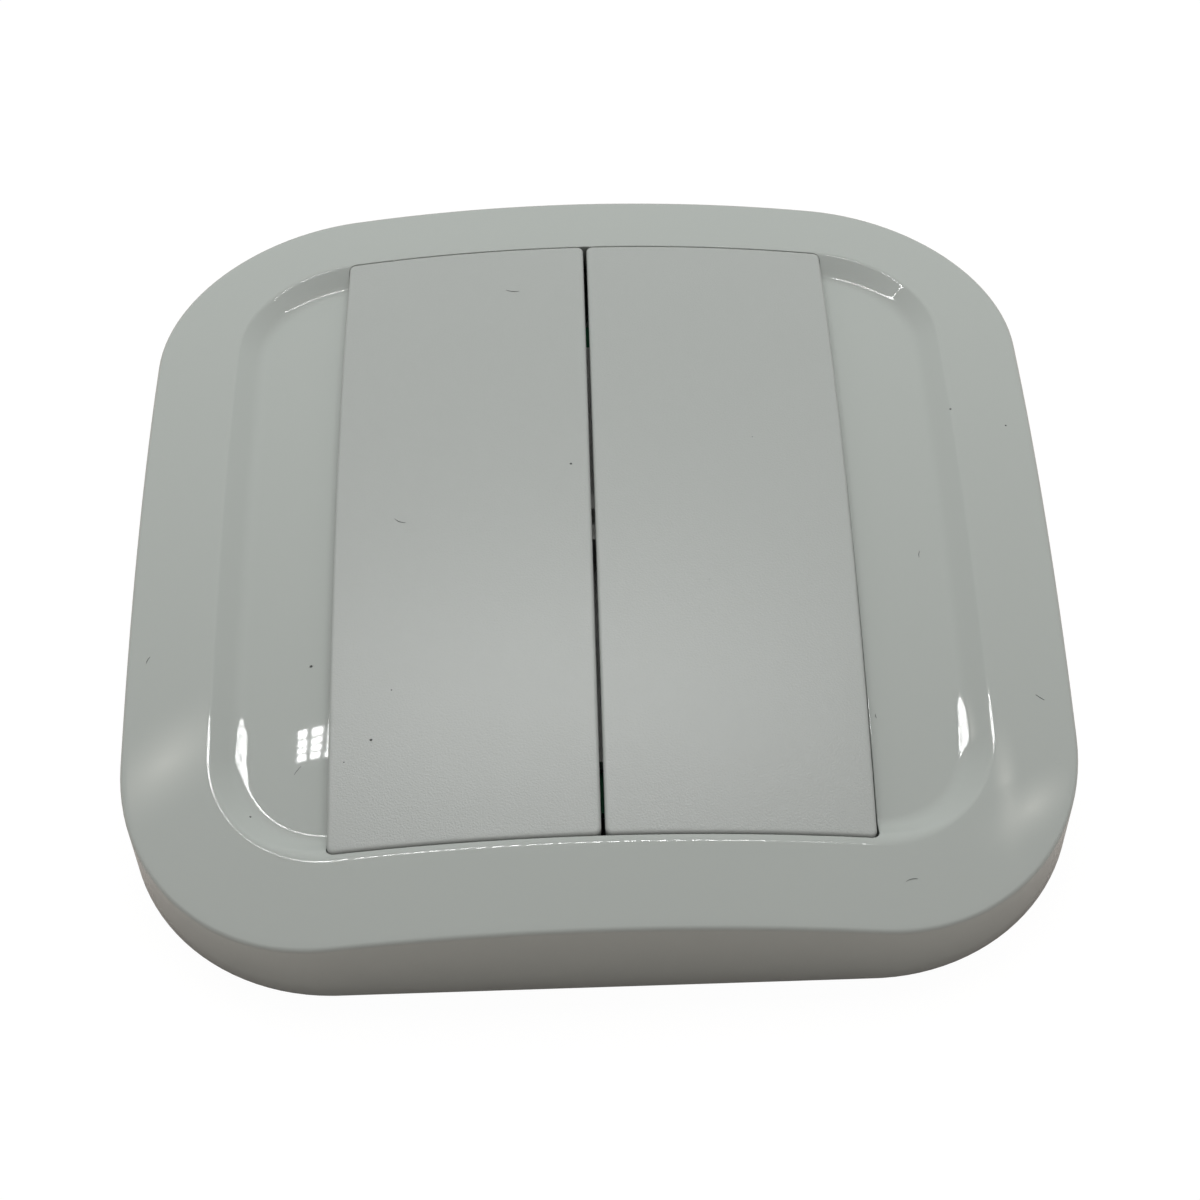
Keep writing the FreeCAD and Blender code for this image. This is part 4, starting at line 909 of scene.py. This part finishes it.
# Fibres by body: place on the front in millimetres, direction in degrees, length in millimetres and curl
FIBRES = {
    "switch_unit": [(28.2, -4.6, 80, 0.7, 0.3), (37.1, -18.8, 150, 0.8, 0.1), (-25.0, -24.0, 50, 0.9, 0.1),
                    (24.7, -35.7, 15, 1.0, 0.4), (-38.1, -12.6, 60, 0.6, 0.3),
                    (22.98, -20.9, 100, 0.4, 0.1)],
    "left_key": [(-16.6, -2.0, 150, 1.1, 0.5), (-6.8, 25.8, 165, 1.3, 0.4)],
    "right_key": [],
}
# Specks by body: place and radius in millimetres
SPECKS = {
    "switch_unit": [(32.6, 11.5, 0.10), (37.6, 10.3, 0.09), (-24.1, -14.6, 0.13), (-28.8, -27.7, 0.09)],
    "left_key": [(-18.75, -23.0, 0.12), (-1.8, 3.0, 0.11), (-17.1, -18.7, 0.07), (-20.96, -24.7, 0.07)],
    "right_key": [(9.6, -9.5, 0.05), (14.2, 6.1, 0.05)],
}


class SWITCH_OT_dust(bpy.types.Operator):
    """Lay the fibres and specks of dust on the front"""
    bl_idname = "switch.dust"
    bl_label = "Dust"

    def execute(self, context):
        dust = context.scene.switch_dust
        lint = finish_of("lint_grey", (screen(96, 98, 96), screen(74, 76, 76)), 0.8, 0.5 * MM, 0.05 * MM,
                         0.003 * MM)
        for body in FIBRES:
            mesh = bmesh.new()
            for x, y, turn, size, curl in FIBRES[body]:
                self.fibre(mesh, body, Vector((x, y)) * MM, math.radians(turn), size * MM, curl, dust.fibre)
            for x, y, radius in SPECKS[body]:
                level = self.level(body, x * MM, y * MM)
                place = Matrix.Translation((x * MM, y * MM, level + radius * 0.2 * MM))
                flattened = place @ Matrix.Diagonal((1.0, 0.8, 0.45, 1.0))
                bmesh.ops.create_icosphere(mesh, subdivisions=2, radius=radius * MM, matrix=flattened)
            piece(f"{body}_dust", mesh, lint, body, self.slot(body), smooth=80)
        self.powder(dust)
        return {"FINISHED"}

    def level(self, body, x, y):
        return front_level(x, y) if body == "switch_unit" else dome_level(x, y)

    def slot(self, body):
        return "gloss_white" if body == "switch_unit" else "matt_white"

    def fibre(self, mesh, body, middle, turn, size, curl, radius):
        """A thin bowed tube that lies on the surface."""
        steps, sides = 8, 6
        sections = []
        for step in range(steps + 1):
            along = step / steps - 0.5
            bend = curl * (0.25 - along * along) * size
            x = middle.x + math.cos(turn) * along * size - math.sin(turn) * bend
            y = middle.y + math.sin(turn) * along * size + math.cos(turn) * bend
            centre = Vector((x, y, self.level(body, x, y) + radius * 0.8))
            thin = radius * (1.0 - abs(along))
            across = Vector((-math.sin(turn), math.cos(turn), 0))
            sections.append([
                mesh.verts.new(centre + thin * (across * math.cos(a) + Vector((0, 0, math.sin(a)))))
                for a in (2 * math.pi * s / sides for s in range(sides))
            ])
        for near, far in zip(sections, sections[1:]):
            for s in range(sides):
                mesh.faces.new((near[s - 1], near[s], far[s], far[s - 1]))
        mesh.faces.new(sections[0])
        mesh.faces.new(sections[-1][::-1])

    def powder(self, dust):
        """Fine specks scattered over what faces up of the cover and the rockers."""
        least_up = 0.8
        pale = finish_of("dust_pale", (screen(205, 206, 203), screen(150, 152, 150)), 0.9, 0.3 * MM,
                         0.04 * MM, 0.003 * MM)
        bases = {"switch_unit": "front_cover_moulding", "left_key": "left_rocker_moulding",
                 "right_key": "right_rocker_moulding"}
        for number, (body, name) in enumerate(bases.items()):
            tree = Tree(f"{body}_powder")
            density = tree.size("Density", dust.density)
            radius = tree.size("Speck radius", dust.speck)
            seed = tree.size("Seed", dust.seed + number, "NodeSocketInt")
            up = tree.add("ShaderNodeSeparateXYZ", 2, _0=tree.add("GeometryNodeInputNormal"))
            facing = tree.add("FunctionNodeCompare", _0=up, _1=least_up)
            points = tree.node("GeometryNodeDistributePointsOnFaces", Mesh=tree.start.outputs[0],
                               Selection=facing, Density=density, Seed=seed).outputs
            speck = tree.add("GeometryNodeMeshIcoSphere", Radius=radius, Subdivisions=1)
            size = tree.add("FunctionNodeRandomValue", 1, _2=0.25, _3=1.0, Seed=seed)
            cloud = tree.spread(points["Points"], speck, Rotation=points["Rotation"], Scale=size)
            tree.output(tree.finish(cloud, pale))
            made = tree.build(f"{body}_fine_dust", bpy.data.objects[name].data.copy())
            settle(made, body, self.slot(body), smooth=80)


# The ceiling's height, and its soft glows: middle, width and length in metres, and turn in degrees
CEILING = 2.0
GLOWS = {
    "left_glow": (-1.52, 0.69, 0.9, 0.52, 16),
    "right_glow": (1.4, 0.43, 0.17, 0.7, 0),
    "far_right_glow": (1.51, 0.4, 0.72, 0.24, 40),
}


class SWITCH_OT_stage(bpy.types.Operator):
    """Set the floor, the lights and the camera"""
    bl_idname = "switch.stage"
    bl_label = "Stage"

    def execute(self, context):
        scene, stage = context.scene, context.scene.switch_stage
        scene.view_settings.view_transform = "Standard"
        self.floor(stage)
        self.room(scene, stage)
        self.overhead(scene, stage)
        self.panels(stage)
        self.glows(stage)
        self.camera(scene, stage)
        return {"FINISHED"}

    def floor(self, stage):
        """The floor, just under the switch and nearly white where the camera sees it."""
        mesh = bmesh.new()
        bmesh.ops.create_grid(mesh, x_segments=8, y_segments=8, size=3.0)
        glow_strength, glow_share = 1.045, 0.93
        look = finish_of("pale_floor", (tuple(stage.floor), shaded(stage.floor, 0.995)), 0.9, 0.3, 0.002,
                         0.0)
        floor = object_of("floor", mesh, look)
        floor.location.z = -0.05 * MM
        nodes, links = look.node_tree.nodes, look.node_tree.links
        seen = nodes.new("ShaderNodeLightPath")
        glow, mixed = nodes.new("ShaderNodeEmission"), nodes.new("ShaderNodeMixShader")
        glow.inputs["Strength"].default_value = glow_strength
        share = nodes.new("ShaderNodeMath")
        share.operation = "MULTIPLY"
        share.inputs[1].default_value = glow_share
        links.new(seen.outputs["Is Camera Ray"], share.inputs[0])
        links.new(share.outputs[0], mixed.inputs[0])
        links.new(nodes["Principled BSDF"].outputs[0], mixed.inputs[1])
        links.new(glow.outputs[0], mixed.inputs[2])
        links.new(mixed.outputs[0], nodes["Material Output"].inputs["Surface"])

    def room(self, scene, stage):
        """Soft light from all round, stronger and cooler from behind, white where the camera sees it."""
        front_tint, rear_tint = (1.03, 1.0, 1.0, 1.0), (0.945, 1.0, 0.98, 1.0)
        world = bpy.data.worlds.new("room")
        scene.world = world
        world.use_nodes = True
        nodes, links = world.node_tree.nodes, world.node_tree.links
        dim = nodes["Background"]
        toward = nodes.new("ShaderNodeSeparateXYZ")
        links.new(nodes.new("ShaderNodeTexCoord").outputs["Generated"], toward.inputs[0])
        change = nodes.new("ShaderNodeMapRange")
        change.interpolation_type = "SMOOTHSTEP"
        limits = {"From Min": -0.6, "From Max": 1.0, "To Min": stage.front_sky, "To Max": stage.rear_sky}
        for socket, value in limits.items():
            change.inputs[socket].default_value = value
        links.new(toward.outputs["Y"], change.inputs["Value"])
        links.new(change.outputs["Result"], dim.inputs["Strength"])
        tint = nodes.new("ShaderNodeValToRGB")
        for stop, value in zip(tint.color_ramp.elements, (front_tint, rear_tint)):
            stop.color = value
        links.new(toward.outputs["Y"], tint.inputs[0])
        links.new(tint.outputs[0], dim.inputs["Color"])
        bright = nodes.new("ShaderNodeBackground")
        mixed = nodes.new("ShaderNodeMixShader")
        links.new(nodes.new("ShaderNodeLightPath").outputs["Is Camera Ray"], mixed.inputs[0])
        links.new(dim.outputs[0], mixed.inputs[1])
        links.new(bright.outputs[0], mixed.inputs[2])
        links.new(mixed.outputs[0], nodes["World Output"].inputs["Surface"])

    def overhead(self, scene, stage):
        """A large soft light over the switch that doesn't show in the gloss."""
        place = Vector((0.0, 0.75, 1.9))
        lamp = bpy.data.lights.new("overhead", "AREA")
        lamp.shape = "RECTANGLE"
        lamp.size, lamp.size_y = 1.9, 1.1
        lamp.energy = stage.key
        lamp.color = (0.985, 1.0, 0.99)
        made = bpy.data.objects.new("overhead", lamp)
        made.location = place
        made.rotation_euler = place.to_track_quat("Z", "Y").to_euler()
        made.visible_glossy = False
        scene.collection.objects.link(made)

    def panels(self, stage):
        """A row of ceiling panels, gridded and then plain, that show only in the gloss."""
        along, panel_width, panel_length, plain = (0.05, -0.0021, 0), 0.017, 0.096, 0.03
        gridded_start, plain_start = (-0.961, 0.610, CEILING), (0.539, 0.552, CEILING)
        tree = Tree("ceiling_panels")
        pane = tree.size("Pane", 0.0135)
        pane_length = tree.math("MULTIPLY", pane, 1.7)
        cell = tree.add("GeometryNodeMeshGrid", Size_X=pane, Size_Y=pane_length, Vertices_X=2, Vertices_Y=2)
        cells = tree.add("GeometryNodeMeshGrid", Size_X=panel_width, Size_Y=panel_length, Vertices_X=2,
                         Vertices_Y=4)
        row = tree.add("GeometryNodeMeshLine", Count=30, Start_Location=gridded_start, Offset=along)
        rest = tree.add("GeometryNodeMeshLine", Count=7, Start_Location=plain_start, Offset=along)
        strip = tree.add("GeometryNodeMeshGrid", Size_X=plain, Size_Y=plain, Vertices_X=2, Vertices_Y=2)
        shine = self.shine("panel_shine", stage.panels)
        tree.output(tree.finish(tree.spread(row, tree.spread(cells, cell)), shine),
                    tree.finish(tree.spread(rest, strip), shine))
        self.show_in_gloss(tree.build("ceiling_panels"))

    def glows(self, stage):
        """Soft patches of light at both sides that show only in the gloss."""
        for name, (x, y, wide, long, turn) in GLOWS.items():
            mesh = bmesh.new()
            bmesh.ops.create_grid(mesh, x_segments=1, y_segments=1, size=0.5)
            made = object_of(name, mesh, self.shine("side_glow", stage.glow, soft=True))
            made.location = (x, y, CEILING)
            made.scale = (wide, long, 1.0)
            made.rotation_euler.z = math.radians(turn)
            self.show_in_gloss(made)

    def show_in_gloss(self, made):
        made.visible_camera = made.visible_diffuse = False

    def shine(self, name, strength, soft=False):
        """A glowing finish; a soft one is warmer and fades from its middle outwards."""
        if name in bpy.data.materials:
            return bpy.data.materials[name]
        made = bpy.data.materials.new(name)
        made.use_nodes = True
        nodes, links = made.node_tree.nodes, made.node_tree.links
        glow = nodes.new("ShaderNodeEmission")
        glow.inputs["Strength"].default_value = strength
        surface = glow.outputs[0]
        if soft:
            glow.inputs["Color"].default_value = (1.0, 0.97, 0.9, 1.0)
            fade = nodes.new("ShaderNodeTexGradient")
            fade.gradient_type = "QUADRATIC_SPHERE"
            half_size = nodes.new("ShaderNodeMapping")
            half_size.inputs["Scale"].default_value = (2.0, 2.0, 2.0)
            links.new(nodes.new("ShaderNodeTexCoord").outputs["Object"], half_size.inputs["Vector"])
            links.new(half_size.outputs[0], fade.inputs["Vector"])
            mixed = nodes.new("ShaderNodeMixShader")
            links.new(fade.outputs["Fac"], mixed.inputs[0])
            links.new(nodes.new("ShaderNodeBsdfTransparent").outputs[0], mixed.inputs[1])
            links.new(glow.outputs[0], mixed.inputs[2])
            surface = mixed.outputs[0]
        links.new(surface, nodes["Material Output"].inputs["Surface"])
        return made

    def camera(self, scene, stage):
        """A camera fitted to the outline, as its place and its directions to the right, down and ahead."""
        place = (-0.000942, -0.1389376, 0.1904308)
        right = (0.999324, -0.03674, 0.000941)
        down = (-0.029166, -0.808384, -0.587932)
        ahead = (0.022361, 0.587507, -0.80891)
        lens = bpy.data.cameras.new("photo_camera")
        lens.sensor_width = 36.0
        lens.lens = stage.focal
        lens.shift_x = -0.0356
        lens.clip_start, lens.clip_end = 0.005, 20.0
        camera = bpy.data.objects.new("photo_camera", lens)
        turn = Matrix([[r, -d, -a] for r, d, a in zip(right, down, ahead)])
        camera.matrix_world = Matrix.Translation(place) @ turn.to_4x4()
        scene.collection.objects.link(camera)
        scene.camera = camera


# Sidebar and running order

OPERATORS = (SWITCH_OT_cover, SWITCH_OT_rockers, SWITCH_OT_screws, SWITCH_OT_capacitors, SWITCH_OT_keypad,
             SWITCH_OT_inner_parts, SWITCH_OT_dust, SWITCH_OT_stage)
SETTINGS = {"switch_cover": CoverSettings, "switch_rocker": RockerSettings, "switch_screw": ScrewSettings,
            "switch_keypad": KeypadSettings, "switch_finish": FinishSettings, "switch_dust": DustSettings,
            "switch_stage": StageSettings}


class SWITCH_PT_sidebar(bpy.types.Panel):
    """Settings and build steps of the wall switch"""
    bl_idname = "SWITCH_PT_sidebar"
    bl_label = "Wall switch"
    bl_space_type = "VIEW_3D"
    bl_region_type = "UI"
    bl_category = "Wall switch"

    def draw(self, context):
        for name, kind in SETTINGS.items():
            box = self.layout.box()
            for prop in kind.__annotations__:
                box.prop(getattr(context.scene, name), prop)
        for operator in OPERATORS:
            self.layout.operator(operator.bl_idname)


def register():
    for kind in (*SETTINGS.values(), *OPERATORS, SWITCH_PT_sidebar):
        bpy.utils.register_class(kind)
    for name, kind in SETTINGS.items():
        setattr(bpy.types.Scene, name, PointerProperty(type=kind))


def unregister():
    for name in SETTINGS:
        delattr(bpy.types.Scene, name)
    for kind in (SWITCH_PT_sidebar, *OPERATORS[::-1], *SETTINGS.values()):
        bpy.utils.unregister_class(kind)


def main():
    register()
    for operator in OPERATORS:
        group, name = operator.bl_idname.split(".")
        getattr(getattr(bpy.ops, group), name)()


if __name__ == "__main__":
    main()
